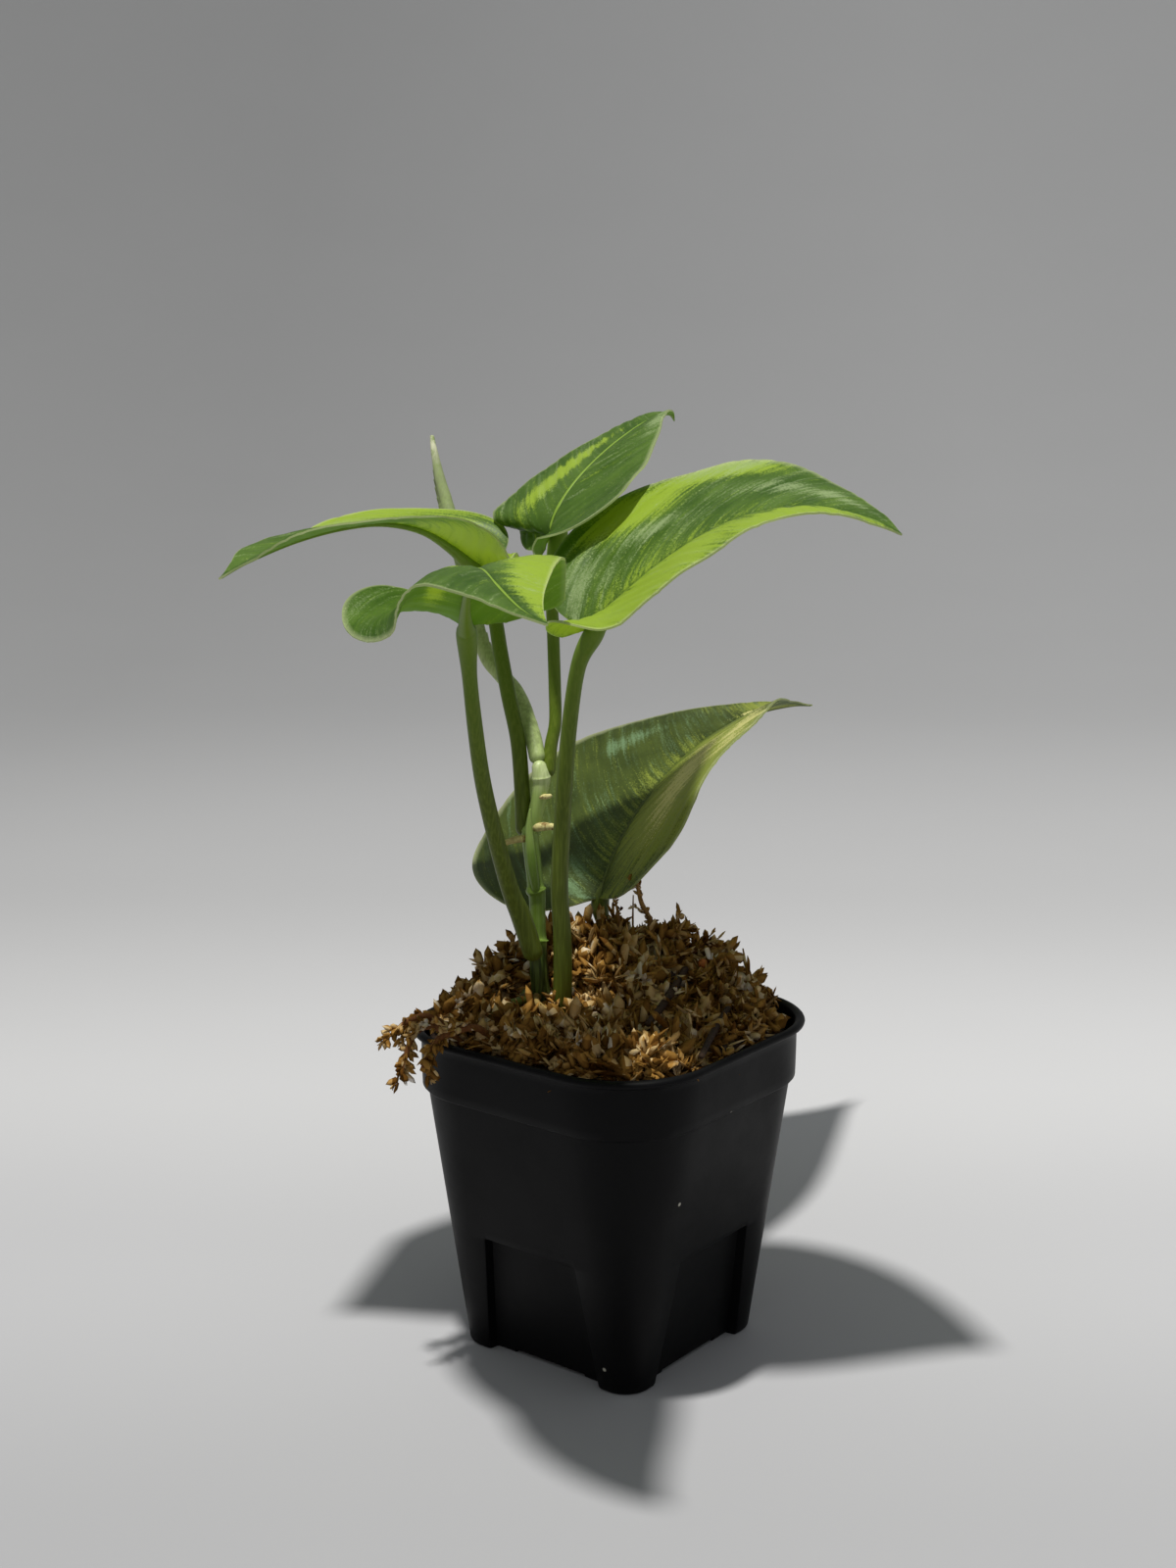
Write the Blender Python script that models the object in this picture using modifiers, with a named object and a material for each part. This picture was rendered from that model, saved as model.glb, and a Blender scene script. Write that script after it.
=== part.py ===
"""A satin pothos rooted in moss in a small square nursery pot.

Metres, +Z up. The origin is the middle of the pot's foot, on the surface that it stands on, and the
pot's walls face along X and Y. The plant's own points are given as seen with one corner of the pot in
front, +X to the right and +Y away, and PLANT_TURN turns them onto the pot.
"""
import math
import random

import bmesh
import bpy
from mathutils import Matrix, Vector

MM = 0.001
GAP = 0.3 * MM                  # clear space between pieces that touch
PLANT_TURN = math.radians(37.6)

# Pot: a 3 inch square nursery pot
POT_HEIGHT = 75.6 * MM
FOOT_HALF = 24.5 * MM
STEP_HEIGHT = 61.5 * MM         # where the rim band starts
STEP_HALF = 34.4 * MM
BAND_PROUD = 0.9 * MM           # how far the band stands out over the wall
LIP_HALF = 37.5 * MM
LIP_DEPTH = 1.6 * MM
RIM_TAPER = 1.0 * MM
FOOT_CORNER = 6.0 * MM
LIP_CORNER = 21.7 * MM
CORNER_STEPS = 6
POT_WALL = 1.1 * MM
FLOOR_THICKNESS = 2.4 * MM
FOOT_EDGE = 0.8 * MM
RECESS_TOP = 29.0 * MM
RECESS_TOP_HALF = 12.5 * MM
RECESS_FOOT_HALF = 15.5 * MM
RECESS_DEPTH = 2.4 * MM
CHANNEL_DEPTH = 1.0 * MM        # raised strips of the underside, between the feet
CHANNEL_HALF = 10.0 * MM
CHANNEL_START = 9.0 * MM
DRAIN_RADIUS = 3.0 * MM
DRAIN_DISTANCE = 15.5 * MM

# Moss: level at the wall, a mound behind the stem, a dip in front of it and a bare right corner
MOSS_LEVEL = 74.5 * MM
MOSS_BUMP = 0.6 * MM
MOUND = dict(centre=(-2 * MM, 20 * MM), height=11.5 * MM, spread=(24 * MM, 20 * MM))
DIP = dict(centre=(-14 * MM, -1 * MM), height=-6.5 * MM, spread=(9 * MM, 9 * MM))
BARE_CORNER = dict(centre=(47 * MM, 1 * MM), height=-6.0 * MM, spread=(7 * MM, 7 * MM))
SPRIG_COUNT = 72
GOLDEN_ANGLE = math.radians(137.5)
SPRIG_RADIUS = 0.95 * MM
SPRIG_LENGTH = (5.0 * MM, 9.0 * MM)

# Leaves
BLADE_THICKNESS = 0.8 * MM
BLADE_ROWS = 22
BLADE_COLUMNS = 4
VEIN_SLANT = 0.22               # how far a vein starts behind the margin point that it reaches
FOLD_STATIONS = (-0.15, 0.15, 0.5, 0.9)
STALK_SIDES = 2                 # bevel resolution: eight sides
SMOOTHING = 2                   # points drawn for each point of a route


def mm(*values):
    return Vector(values) * MM


def clear_scene():
    for obj in list(bpy.data.objects):
        bpy.data.objects.remove(obj, do_unlink=True)
    for group in list(bpy.data.collections):
        bpy.data.collections.remove(group)


def new_collection(name):
    group = bpy.data.collections.new(name)
    bpy.context.scene.collection.children.link(group)
    return group


def add_object(name, mesh, group):
    obj = bpy.data.objects.new(name, mesh)
    group.objects.link(obj)
    if group is CUTTERS:
        obj.hide_render = True
        obj.display_type = "WIRE"
    return obj


def finish(obj, colour, roughness, metallic=0.0):
    """Gives a finished piece its own material and smooth shading."""
    material = bpy.data.materials.new(obj.name + "_finish")
    material.use_nodes = True
    shader = material.node_tree.nodes["Principled BSDF"]
    shader.inputs["Base Color"].default_value = (*colour, 1.0)
    shader.inputs["Roughness"].default_value = roughness
    shader.inputs["Metallic"].default_value = metallic
    obj.data.materials.clear()
    obj.data.materials.append(material)
    obj.data.shade_smooth()
    obj.data.set_sharp_from_angle(angle=math.radians(35))
    return obj


def mesh_from(name, bm):
    mesh = bpy.data.meshes.new(name)
    bm.to_mesh(mesh)
    bm.free()
    return mesh


def evaluated_mesh(obj):
    bpy.context.view_layer.update()
    return bpy.data.meshes.new_from_object(obj.evaluated_get(bpy.context.evaluated_depsgraph_get()))


def tidy(obj, keep_scraps=False):
    """Welds, triangulates and keeps the largest body of an object that was cut or joined."""
    bm = bmesh.new()
    bm.from_mesh(obj.data)
    bmesh.ops.remove_doubles(bm, verts=bm.verts, dist=0.002 * MM)
    bmesh.ops.dissolve_degenerate(bm, edges=bm.edges, dist=0.002 * MM)
    bmesh.ops.triangulate(bm, faces=bm.faces)
    if not keep_scraps:
        islands = find_islands(bm)
        largest = max(islands, key=len)
        scraps = [face for island in islands if island is not largest for face in island]
        bmesh.ops.delete(bm, geom=scraps, context="FACES")
    bm.to_mesh(obj.data)
    bm.free()


def find_islands(bm):
    islands = []
    waiting = set(bm.faces)
    while waiting:
        island = set()
        front = [waiting.pop()]
        while front:
            face = front.pop()
            island.add(face)
            for edge in face.edges:
                for neighbour in edge.link_faces:
                    if neighbour in waiting:
                        waiting.remove(neighbour)
                        front.append(neighbour)
        islands.append(island)
    return islands


def combine(obj, operation, others, solver="EXACT"):
    """Cuts or joins an object with each of the others, and applies the result."""
    for other in others:
        add_boolean(obj, operation, other, solver)
    apply_booleans(obj)


def add_boolean(obj, operation, other, solver):
    modifier = obj.modifiers.new(operation.lower(), "BOOLEAN")
    modifier.operation = operation
    modifier.solver = solver
    if isinstance(other, bpy.types.Collection):
        modifier.operand_type = "COLLECTION"
        modifier.collection = other
    else:
        modifier.object = other


def apply_booleans(obj):
    mesh = evaluated_mesh(obj)
    obj.modifiers.clear()
    obj.data = mesh
    tidy(obj)


def remove_all(group):
    for member in list(group.objects):
        bpy.data.objects.remove(member, do_unlink=True)
    bpy.data.collections.remove(group)


def join_all(obj, group):
    """Fuses a collection's objects into one object and removes them."""
    combine(obj, "UNION", [group])
    remove_all(group)


def catmull_rom(values, t):
    """A smooth curve through the values, read at the place t along their list."""
    last = len(values) - 1
    t = min(max(t, 0.0), last)
    i = min(int(t), last - 1)
    f = t - i
    before, start, end, after = values[max(i - 1, 0)], values[i], values[i + 1], values[min(i + 2, last)]
    bend = (2 * before - 5 * start + 4 * end - after) * f ** 2
    sway = (3 * start - before - 3 * end + after) * f ** 3
    return 0.5 * (2 * start + (end - before) * f + bend + sway)


def turned(point):
    return Matrix.Rotation(PLANT_TURN, 3, "Z") @ point


def tube(name, route, group, sides=STALK_SIDES, grow=0.0, smoothing=SMOOTHING, round_tips=True):
    """A stalk along a route of (x, y, z, diameter) in millimetres, with its tips rounded off."""
    stations = (len(route) - 1) * smoothing
    stops = [k / smoothing for k in range(stations + 1)]
    centres = [catmull_rom([mm(*stop[:3]) for stop in route], t) for t in stops]
    radii = [catmull_rom([stop[3] * MM / 2 for stop in route], t) + grow for t in stops]
    for end, inner in ((0, 1), (-1, -2)):
        out = (centres[end] - centres[inner]).normalized()
        centres[end] += out * grow
        if not round_tips:
            continue
        tip = centres[end] + out * radii[end] * 0.35
        centres.insert(0 if end == 0 else len(centres), tip)
        radii.insert(0 if end == 0 else len(radii), radii[end] * 0.6)
    curve = bpy.data.curves.new(name, "CURVE")
    curve.dimensions = "3D"
    curve.bevel_depth = 1.0
    curve.bevel_resolution = sides
    curve.use_fill_caps = True
    spline = curve.splines.new("POLY")
    spline.points.add(len(centres) - 1)
    for point, centre, radius in zip(spline.points, centres, radii):
        point.co = (*turned(centre), 1.0)
        point.radius = radius
    drawn = bpy.data.objects.new(name + "_route", curve)
    group.objects.link(drawn)
    mesh = evaluated_mesh(drawn)
    matrix = drawn.matrix_world.copy()
    bpy.data.objects.remove(drawn, do_unlink=True)
    bm = bmesh.new()
    bm.from_mesh(mesh)
    bmesh.ops.remove_doubles(bm, verts=bm.verts, dist=0.0005 * MM)
    bmesh.ops.recalc_face_normals(bm, faces=bm.faces)
    bm.to_mesh(mesh)
    bm.free()
    obj = add_object(name, mesh, group)
    obj.matrix_world = matrix
    return obj


def rounded_square(half, radius, z):
    ring = []
    for corner, (sx, sy) in enumerate(((1, 1), (-1, 1), (-1, -1), (1, -1))):
        for step in range(CORNER_STEPS + 1):
            angle = (corner + step / CORNER_STEPS) * math.pi / 2
            x = sx * (half - radius) + radius * math.cos(angle)
            y = sy * (half - radius) + radius * math.sin(angle)
            ring.append(Vector((x, y, z)))
    return ring


def corner_radius(z):
    return FOOT_CORNER + (LIP_CORNER - FOOT_CORNER) * z / POT_HEIGHT


def wall_half(z):
    return FOOT_HALF + (STEP_HALF - FOOT_HALF) * z / STEP_HEIGHT


def loft(name, rings, group):
    """A closed solid whose skin runs from ring to ring, with a flat cap at each end."""
    bm = bmesh.new()
    rows = [[bm.verts.new(point) for point in ring] for ring in rings]
    for low, high in zip(rows, rows[1:]):
        for i in range(len(low)):
            j = (i + 1) % len(low)
            bm.faces.new((low[i], low[j], high[j], high[i]))
    bm.faces.new(reversed(rows[0]))
    bm.faces.new(rows[-1])
    bmesh.ops.triangulate(bm, faces=bm.faces)
    return add_object(name, mesh_from(name, bm), group)


def pot_profile(inset):
    """Heights and half widths up the outside of the pot, or up a surface set in from it."""
    band_foot = wall_half(STEP_HEIGHT) + BAND_PROUD
    band_top = band_foot + (POT_HEIGHT - LIP_DEPTH - STEP_HEIGHT) * 0.07
    profile = [
        (STEP_HEIGHT - 0.1 * MM, wall_half(STEP_HEIGHT - 0.1 * MM)),
        (STEP_HEIGHT + 0.5 * MM, band_foot),
        (POT_HEIGHT - LIP_DEPTH - 0.4 * MM, band_top),
        (POT_HEIGHT - LIP_DEPTH + 0.2 * MM, LIP_HALF - 0.1 * MM),
        (POT_HEIGHT - 0.6 * MM, LIP_HALF),
        (POT_HEIGHT, LIP_HALF - 0.5 * MM),
    ]
    return [(z, half - inset) for z, half in profile]


def recess_cutter(name, side, grow):
    """The wedge that is missing low on one wall, or the same wedge grown by a wall's thickness."""
    bm = bmesh.new()
    bmesh.ops.create_cube(bm, size=2.0)
    for vertex in bm.verts:
        high = vertex.co.z > 0
        z = RECESS_TOP + grow if high else -2 * MM
        half_width = (RECESS_TOP_HALF if high else RECESS_FOOT_HALF) + grow
        depth = wall_half(z) - RECESS_DEPTH - grow if vertex.co.y > 0 else wall_half(z) + 4 * MM
        vertex.co = (math.copysign(half_width, vertex.co.x), -depth, z)
    turn = Matrix.Rotation(side * math.pi / 2, 3, "Z")
    bmesh.ops.rotate(bm, verts=bm.verts, cent=(0, 0, 0), matrix=turn)
    return add_object(name, mesh_from(name, bm), CUTTERS)


def rim_room(z, inset):
    """Half width inside the rim band, which opens a little towards the lip."""
    share = (z - STEP_HEIGHT) / (POT_HEIGHT - STEP_HEIGHT)
    return LIP_HALF - inset - RIM_TAPER * (1.9 - share)


def cavity(name, inset, floor, top):
    """The room inside the pot, with the backs of the four recesses standing into it."""
    step = STEP_HEIGHT - 0.8 * MM
    band = STEP_HEIGHT + 0.6 * MM
    sections = [(floor, wall_half(floor) - inset), (step, wall_half(step) - inset)]
    sections += [(band, rim_room(band, inset)), (top, rim_room(top, inset))]
    room = loft(name, [rounded_square(half, corner_radius(z) - inset, z) for z, half in sections], CUTTERS)
    backs = [recess_cutter(f"{name}_back_{side}", side, inset) for side in range(4)]
    combine(room, "DIFFERENCE", backs)
    return room


def make_pot():
    rings = [
        rounded_square(FOOT_HALF - FOOT_EDGE, FOOT_CORNER - FOOT_EDGE, 0.0),
        rounded_square(FOOT_HALF - 0.2 * FOOT_EDGE, FOOT_CORNER - 0.2 * FOOT_EDGE, 0.3 * FOOT_EDGE),
        rounded_square(wall_half(FOOT_EDGE), corner_radius(FOOT_EDGE), FOOT_EDGE),
        rounded_square(wall_half(RECESS_TOP), corner_radius(RECESS_TOP), RECESS_TOP),
    ]
    rings += [rounded_square(half, corner_radius(z), z) for z, half in pot_profile(0.0)]
    pot = loft("pot", rings, PARTS)
    cutters = [cavity("pot_room", POT_WALL, FLOOR_THICKNESS, POT_HEIGHT + 1 * MM)]
    for side in range(4):
        turn = Matrix.Rotation(side * math.pi / 2, 3, "Z")
        cutters.append(recess_cutter(f"wall_recess_{side}", side, 0.0))
        length = FOOT_HALF - CHANNEL_START
        bm = bmesh.new()
        bmesh.ops.create_cube(bm, size=1.0)
        bmesh.ops.scale(bm, verts=bm.verts, vec=(2 * CHANNEL_HALF, length, 2 * CHANNEL_DEPTH))
        bmesh.ops.translate(bm, verts=bm.verts, vec=(0, -(CHANNEL_START + length / 2), 0))
        bmesh.ops.rotate(bm, verts=bm.verts, cent=(0, 0, 0), matrix=turn)
        cutters.append(add_object(f"foot_channel_{side}", mesh_from("foot_channel", bm), CUTTERS))
        bm = bmesh.new()
        bmesh.ops.create_cone(bm, cap_ends=True, segments=16, radius1=DRAIN_RADIUS, radius2=DRAIN_RADIUS,
                              depth=4 * FLOOR_THICKNESS)
        bmesh.ops.translate(bm, verts=bm.verts, vec=(0, -DRAIN_DISTANCE, 0))
        bmesh.ops.rotate(bm, verts=bm.verts, cent=(0, 0, 0), matrix=turn)
        cutters.append(add_object(f"drain_hole_{side}", mesh_from("drain_hole", bm), CUTTERS))
    combine(pot, "DIFFERENCE", cutters)
    return finish(pot, (0.012, 0.012, 0.013), 0.42)


def hump(spec, x, y):
    across = (x - spec["centre"][0]) / spec["spread"][0]
    along = (y - spec["centre"][1]) / spec["spread"][1]
    return spec["height"] * math.exp(-(across ** 2 + along ** 2) / 2)


def moss_height(x, y):
    """The moss's surface over a point of the plant's own frame."""
    ripple = math.sin(x / (3.1 * MM)) * math.cos(y / (2.7 * MM)) + math.sin((x + 2 * y) / (4.3 * MM))
    humps = sum(hump(spec, x, y) for spec in (MOUND, DIP, BARE_CORNER))
    return MOSS_LEVEL + humps + MOSS_BUMP * ripple


def on_moss(point):
    """The same point of the pot's frame, lifted to the moss's surface."""
    seen = Matrix.Rotation(-PLANT_TURN, 3, "Z") @ point
    return Vector((point.x, point.y, moss_height(seen.x, seen.y)))


def make_sprig(name, root, heading, length, lift, group):
    """A branch of dead moss: it rises from its root, bends over and hangs at its tip."""
    route = []
    for step, width in ((0.0, 1.0), (0.4, 0.95), (0.75, 0.75), (1.0, 0.3)):
        reach = length * step
        rise = lift * math.sin(step * 2.2) - length * 0.35 * step ** 3
        place = Matrix.Rotation(-PLANT_TURN, 3, "Z") @ (root + heading * reach + Vector((0, 0, rise)))
        route.append((*(place / MM), 2 * SPRIG_RADIUS * width / MM))
    return tube(name, route, group, sides=0, smoothing=1, round_tips=False)


def inside_rim(point, half, radius):
    across = max(abs(point.x) - half + radius, 0.0)
    along = max(abs(point.y) - half + radius, 0.0)
    return math.hypot(across, along) <= radius


def make_moss(clear_of):
    """Packed moss that fills the pot and is heaped over its rim, with branches standing out of it."""
    moss = cavity("moss_fill", POT_WALL + GAP, FLOOR_THICKNESS + GAP, 70 * MM)
    half = LIP_HALF - 2.2 * MM - POT_WALL - GAP
    radius = LIP_CORNER - POT_WALL - GAP
    edge = rounded_square(half, radius, 0.0)
    rings = [[point + Vector((0, 0, 66 * MM)) for point in edge]]
    for shrink, sunk in ((1.0, 3.0), (0.95, 0.8), (0.84, 0.0), (0.68, 0.0), (0.5, 0.0), (0.32, 0.0), (0.14, 0.0)):
        rings.append([on_moss(point * shrink) - Vector((0, 0, sunk * MM)) for point in edge])
    branches = new_collection("moss_branches")
    loft("moss_heap", rings, branches)
    draw = random.Random(11)
    for count in range(SPRIG_COUNT):
        angle = count * GOLDEN_ANGLE + draw.uniform(-0.2, 0.2)
        spread = 0.97 * math.sqrt((count + 0.5) / SPRIG_COUNT)
        place = edge[int(angle / math.tau * len(edge)) % len(edge)] * spread
        heading = Matrix.Rotation(angle + draw.uniform(-1.3, 1.3), 3, "Z") @ Vector((1, 0, 0))
        length = draw.uniform(*SPRIG_LENGTH)
        if not inside_rim(place + heading * length, half - 2 * MM, radius):
            heading = -place.normalized()
        root = on_moss(place) - Vector((0, 0, 1.2 * MM))
        make_sprig(f"sprig_{count}", root, heading, length, draw.uniform(1.5, 4.5) * MM, branches)
    for count, route in enumerate(RIM_TUFT):
        tube(f"tuft_{count}", route, branches, sides=0, smoothing=2, round_tips=False)
    for count, route in enumerate(UPRIGHT_STRANDS):
        tube(f"strand_{count}", route, branches, sides=0, smoothing=1, round_tips=False)
    add_boolean(moss, "UNION", branches, "MANIFOLD")
    for room in clear_of:
        add_boolean(moss, "DIFFERENCE", room, "MANIFOLD")
    apply_booleans(moss)
    remove_all(branches)
    PARTS.objects.link(moss)
    CUTTERS.objects.unlink(moss)
    moss.name = "moss"
    moss.hide_render = False
    moss.display_type = "TEXTURED"
    return finish(moss, (0.24, 0.135, 0.052), 0.9)


# Strands of moss hanging over the rim, and strands standing up behind the plant: x, y, z, diameter
RIM_TUFT = [
    [(-30, -16, 73, 2.2), (-37, -18, 79, 2.2), (-41.5, -21, 79.2, 2.0), (-43.5, -23.5, 75, 1.6),
     (-44.5, -25.5, 71, 0.9)],
    [(-32, -12, 74, 2.0), (-39, -13.5, 80, 2.0), (-44, -17, 80, 1.6), (-47, -19, 77.5, 0.9)],
    [(-24, -17, 74.5, 2.2), (-28.5, -20, 79.6, 2.2), (-34, -24, 79.8, 2.0), (-37.6, -26.8, 78.0, 1.6),
     (-39.6, -29, 74.0, 1.0)],
]
UPRIGHT_STRANDS = [
    [(7.0, 25, 83, 2.0), (7.6, 25, 89, 1.8), (8.0, 25, 94, 1.6), (6.4, 25, 100, 0.9)],
    [(9, 24, 83, 2.4), (13, 24, 88, 2.2), (17, 23.5, 90.5, 1.0)],
    [(1, 24, 84, 1.8), (2.2, 25, 90, 1.4), (1.4, 25, 95.5, 0.8)],
    [(16, 20, 82, 2.2), (21, 20, 86, 1.8), (25, 19, 86.5, 0.9)],
]

# The stem, from its buried end to its top node, with a thicker ring where each leaf grew
VINE_ROUTE = [
    (-12.5, 6.0, 48, 2.6), (-13.6, 5.0, 60, 3.8), (-14.7, 4.0, 72.7, 4.3), (-15.7, 4.0, 81.9, 4.2),
    (-16.2, 4.3, 90.6, 4.1), (-16.3, 4.5, 92.2, 4.8), (-16.2, 4.7, 94.0, 3.8), (-16.2, 5.0, 101.8, 3.8),
    (-16.5, 5.0, 103.8, 4.4), (-16.7, 5.2, 105.8, 3.7), (-17.6, 5.6, 114.8, 3.8), (-17.6, 6.0, 117.0, 4.5),
    (-17.0, 6.0, 119.0, 3.7), (-15.3, 6.0, 126.8, 3.5), (-15.2, 6.2, 129.2, 4.1), (-15.6, 6.4, 131.4, 3.4),
]
# What grew on the stem itself: a pointed bud along it, root stubs and small pale nubs
VINE_GROWTHS = [
    [(-16.6, 3.4, 104.5, 1.6), (-17.4, 3.0, 110.7, 2.2), (-17.9, 3.0, 117.4, 1.6), (-17.6, 3.0, 122.6, 0.7)],
    [(-17.4, 5.0, 118.0, 2.0), (-14.6, 4.2, 118.5, 1.8), (-12.8, 3.6, 118.6, 1.3)],
    [(-15.8, 5.0, 125.0, 1.4), (-13.6, 4.0, 125.3, 1.3), (-12.4, 3.6, 125.5, 0.9)],
    [(-17.8, 5.0, 115.6, 1.8), (-20.4, 3.4, 115.8, 1.6), (-23.2, 2.4, 115.2, 1.0)],
    [(-16.2, 2.8, 79.8, 2.2), (-16.4, -0.8, 79.3, 1.6), (-14.2, -4.8, 78.8, 1.4), (-11.4, -8.2, 78.2, 0.9)],
]
AERIAL_ROOT = [(-18.6, 1.6, 80.6, 2.4), (-19.9, -3.0, 80.4, 2.2), (-23.8, -7.0, 80.0, 2.0), (-27.2, -10.5, 78.6, 1.3)]
NEW_LEAF = [
    (-16.2, 7.8, 133.6, 3.2), (-17.8, 12, 138.8, 3.2), (-21.0, 18, 145.6, 3.0), (-24.7, 22, 149.5, 2.8),
    (-27.9, 25, 153.1, 2.8), (-29.9, 29, 158.6, 2.8), (-33.6, 37, 172.8, 2.9), (-36.1, 42.5, 179.9, 3.0),
    (-37.9, 46, 185.9, 2.7), (-40.1, 49, 193.1, 2.0), (-41.4, 51, 199.1, 1.2), (-41.8, 52, 201.8, 0.8),
]
TWIGS = {
    "twig_long": [(17.2, 11.0, 83.4, 1.6), (12.6, -3.5, 80.8, 1.8), (8.3, -16.5, 79.4, 1.4)],
    "twig_short": [(26.2, -3.5, 78.6, 1.5), (22.6, -17.0, 78.0, 1.6), (19.2, -31.5, 77.2, 1.3)],
}

# Each leaf: its stalk (x, y, z, diameter), the five points that bend its midrib, the widths of its two
# halves, the shape of its outline, and in degrees how each half folds up at the midrib and curls
# towards its margin, at the four stations from behind the stalk to the tip. Left and right are as
# seen from the stalk, looking to the tip.
LEAVES = {
    "leaf_right": dict(
        stalk=[(-12.6, 2.4, 73.0, 4.0), (-10.8, 0.2, 78.0, 4.3), (-10.5, -1.0, 93.6, 4.1), (-11.1, -2.0, 105.6, 3.9),
               (-10.5, -3.0, 118.2, 3.8), (-9.8, -5.0, 129.4, 3.6), (-8.6, -7.0, 143.4, 3.4),
               (-6.6, -10.0, 156.6, 3.4), (-5.0, -12.0, 164.6, 3.8)],
        midrib=[(-5, -12, 165), (14.5, -16.5, 185), (27, -27, 193.5), (43, -29, 196), (57.5, -38.5, 187)],
        widths=(35.5, 29.5), lobe=0.08, widest=0.31, taper=1.28,
        fold=dict(left=(52, 38, 21, 7), right=(37, -14, -7, 0)),
        curl=dict(left=(27, 0, 1, -12), right=(12, 5, -17, -1))),
    "leaf_front": dict(
        stalk=[(-17.2, -0.2, 91.0, 4.6), (-19.6, -1.5, 99.3, 4.6), (-21.9, -4.0, 106.3, 4.0), (-24.6, -9.0, 118.8, 3.7),
               (-26.9, -14.0, 132.0, 3.5), (-28.1, -19.0, 144.5, 3.3), (-28.9, -23.0, 156.6, 3.2),
               (-29.0, -27.0, 167.0, 3.4)],
        midrib=[(-29, -27, 167.5), (-29.5, -51, 179.5), (-21.5, -66, 191.5), (-24.5, -85.5, 182), (-10.5, -99.5, 177.5)],
        widths=(20.5, 24.5), lobe=0.04, widest=0.12, taper=1.0,
        fold=dict(left=(15, 26, 16, 12), right=(60, -2, 10, 9)),
        curl=dict(left=(-22, -38, -23, -33), right=(15, -10, -103, 6))),
    "leaf_left": dict(
        stalk=[(-19.2, 6.6, 117.6, 3.6), (-19.5, 7.2, 126.2, 3.5), (-20.4, 9.0, 137.0, 3.4), (-22.5, 12.0, 146.6, 3.4),
               (-24.4, 16.0, 155.8, 3.4), (-26.1, 21.0, 163.9, 3.4), (-28.1, 26.0, 172.6, 3.6)],
        midrib=[(-28.5, 26.5, 173.5), (-44.5, 18, 187.5), (-43, -2.5, 188.5), (-64.5, -7.5, 187.5), (-80.5, -20.5, 176.5)],
        widths=(26.0, 27.5), lobe=0.08, widest=0.5, taper=1.5,
        fold=dict(left=(47, -1, 5, 16), right=(105, 17, -8, 9)),
        curl=dict(left=(-3, -14, 0, 6), right=(-23, 2, -6, -25))),
    "leaf_back": dict(
        stalk=[(-13.6, 7.2, 130.6, 3.0), (-13.0, 9.0, 136.1, 2.9), (-12.1, 10.4, 141.0, 2.8), (-12.2, 12.5, 148.8, 2.8),
               (-12.6, 15.0, 161.9, 2.8), (-13.0, 17.5, 171.6, 2.8), (-13.5, 20.0, 181.0, 3.0)],
        midrib=[(-13.5, 20.5, 181.5), (-12, 21, 194.5), (4, 41.5, 203.5), (15, 51, 211.5), (15.5, 58, 205)],
        widths=(21.5, 22.5), lobe=0.1, widest=0.14, taper=1.67,
        fold=dict(left=(14, -6, -14, 5), right=(40, 2, 14, 18)),
        curl=dict(left=(7, -5, 5, -16), right=(2, 21, -6, -17))),
    "leaf_low": dict(
        stalk=[(-5.0, 26.0, 57.0, 3.0), (0.6, 33.5, 66.0, 3.6), (1.8, 36.4, 73.1, 3.6), (0.4, 36.0, 79.0, 3.4),
               (-1.4, 34.5, 87.2, 3.2), (-2.6, 33.2, 93.8, 3.6)],
        midrib=[(-2.5, 33.5, 94.5), (3.5, 62.5, 111), (20, 77.5, 124.5), (35.5, 99, 131), (56, 127.5, 124.5)],
        widths=(41.0, 33.5), lobe=0.08, widest=0.24, taper=1.72,
        fold=dict(left=(5, 0, 0, 4), right=(47, 38, 27, 26)),
        curl=dict(left=(-9, -14, 1, -6), right=(-14, 4, 2, -1))),
}


def bezier(controls, t):
    points = list(controls)
    while len(points) > 1:
        points = [start.lerp(end, t) for start, end in zip(points, points[1:])]
    return points[0]


class Midrib:
    """A leaf's midrib, read by the share of its length from the stalk."""

    def __init__(self, controls):
        self.controls = [mm(*control) for control in controls]
        steps = 60
        drawn = [bezier(self.controls, k / steps) for k in range(steps + 1)]
        self.reached = [0.0]
        for start, end in zip(drawn, drawn[1:]):
            self.reached.append(self.reached[-1] + (end - start).length)
        self.length = self.reached[-1]

    def parameter(self, share):
        goal = share * self.length
        for k, (low, high) in enumerate(zip(self.reached, self.reached[1:])):
            if goal <= high:
                return (k + (goal - low) / (high - low)) / (len(self.reached) - 1)
        return 1.0

    def frame(self, share):
        """Place, upward and leftward directions; behind the stalk the line runs straight back."""
        t = self.parameter(min(max(share, 0.0), 1.0))
        nudge = 0.001
        ahead = bezier(self.controls, min(t + nudge, 1.0)) - bezier(self.controls, max(t - nudge, 0.0))
        along = ahead.normalized()
        place = bezier(self.controls, t) + along * min(share, 0.0) * self.length
        up = (Vector((0, 0, 1)) - along * along.z).normalized()
        return place, up, up.cross(along)


def at_station(values, share):
    """A value given at the four stations, read at a share of the midrib."""
    for k, (low, high) in enumerate(zip(FOLD_STATIONS, FOLD_STATIONS[1:])):
        if share < high:
            return catmull_rom(values, k + max(share - low, 0.0) / (high - low))
    return float(values[-1])


def heart_outline(u, lobe, widest, taper):
    """Along and across shares of a heart's margin, from the stalk round the lobe to the tip."""
    if u < 0.5:
        turn = u * math.pi
        back = widest + lobe * math.sin(min(3 * turn, math.pi / 2))
        return widest - back * math.cos(turn), math.sin(turn)
    t = 2 * u - 1
    return widest + (1 - widest) * t, (1 - t) ** taper * (1 + taper * t)


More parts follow.
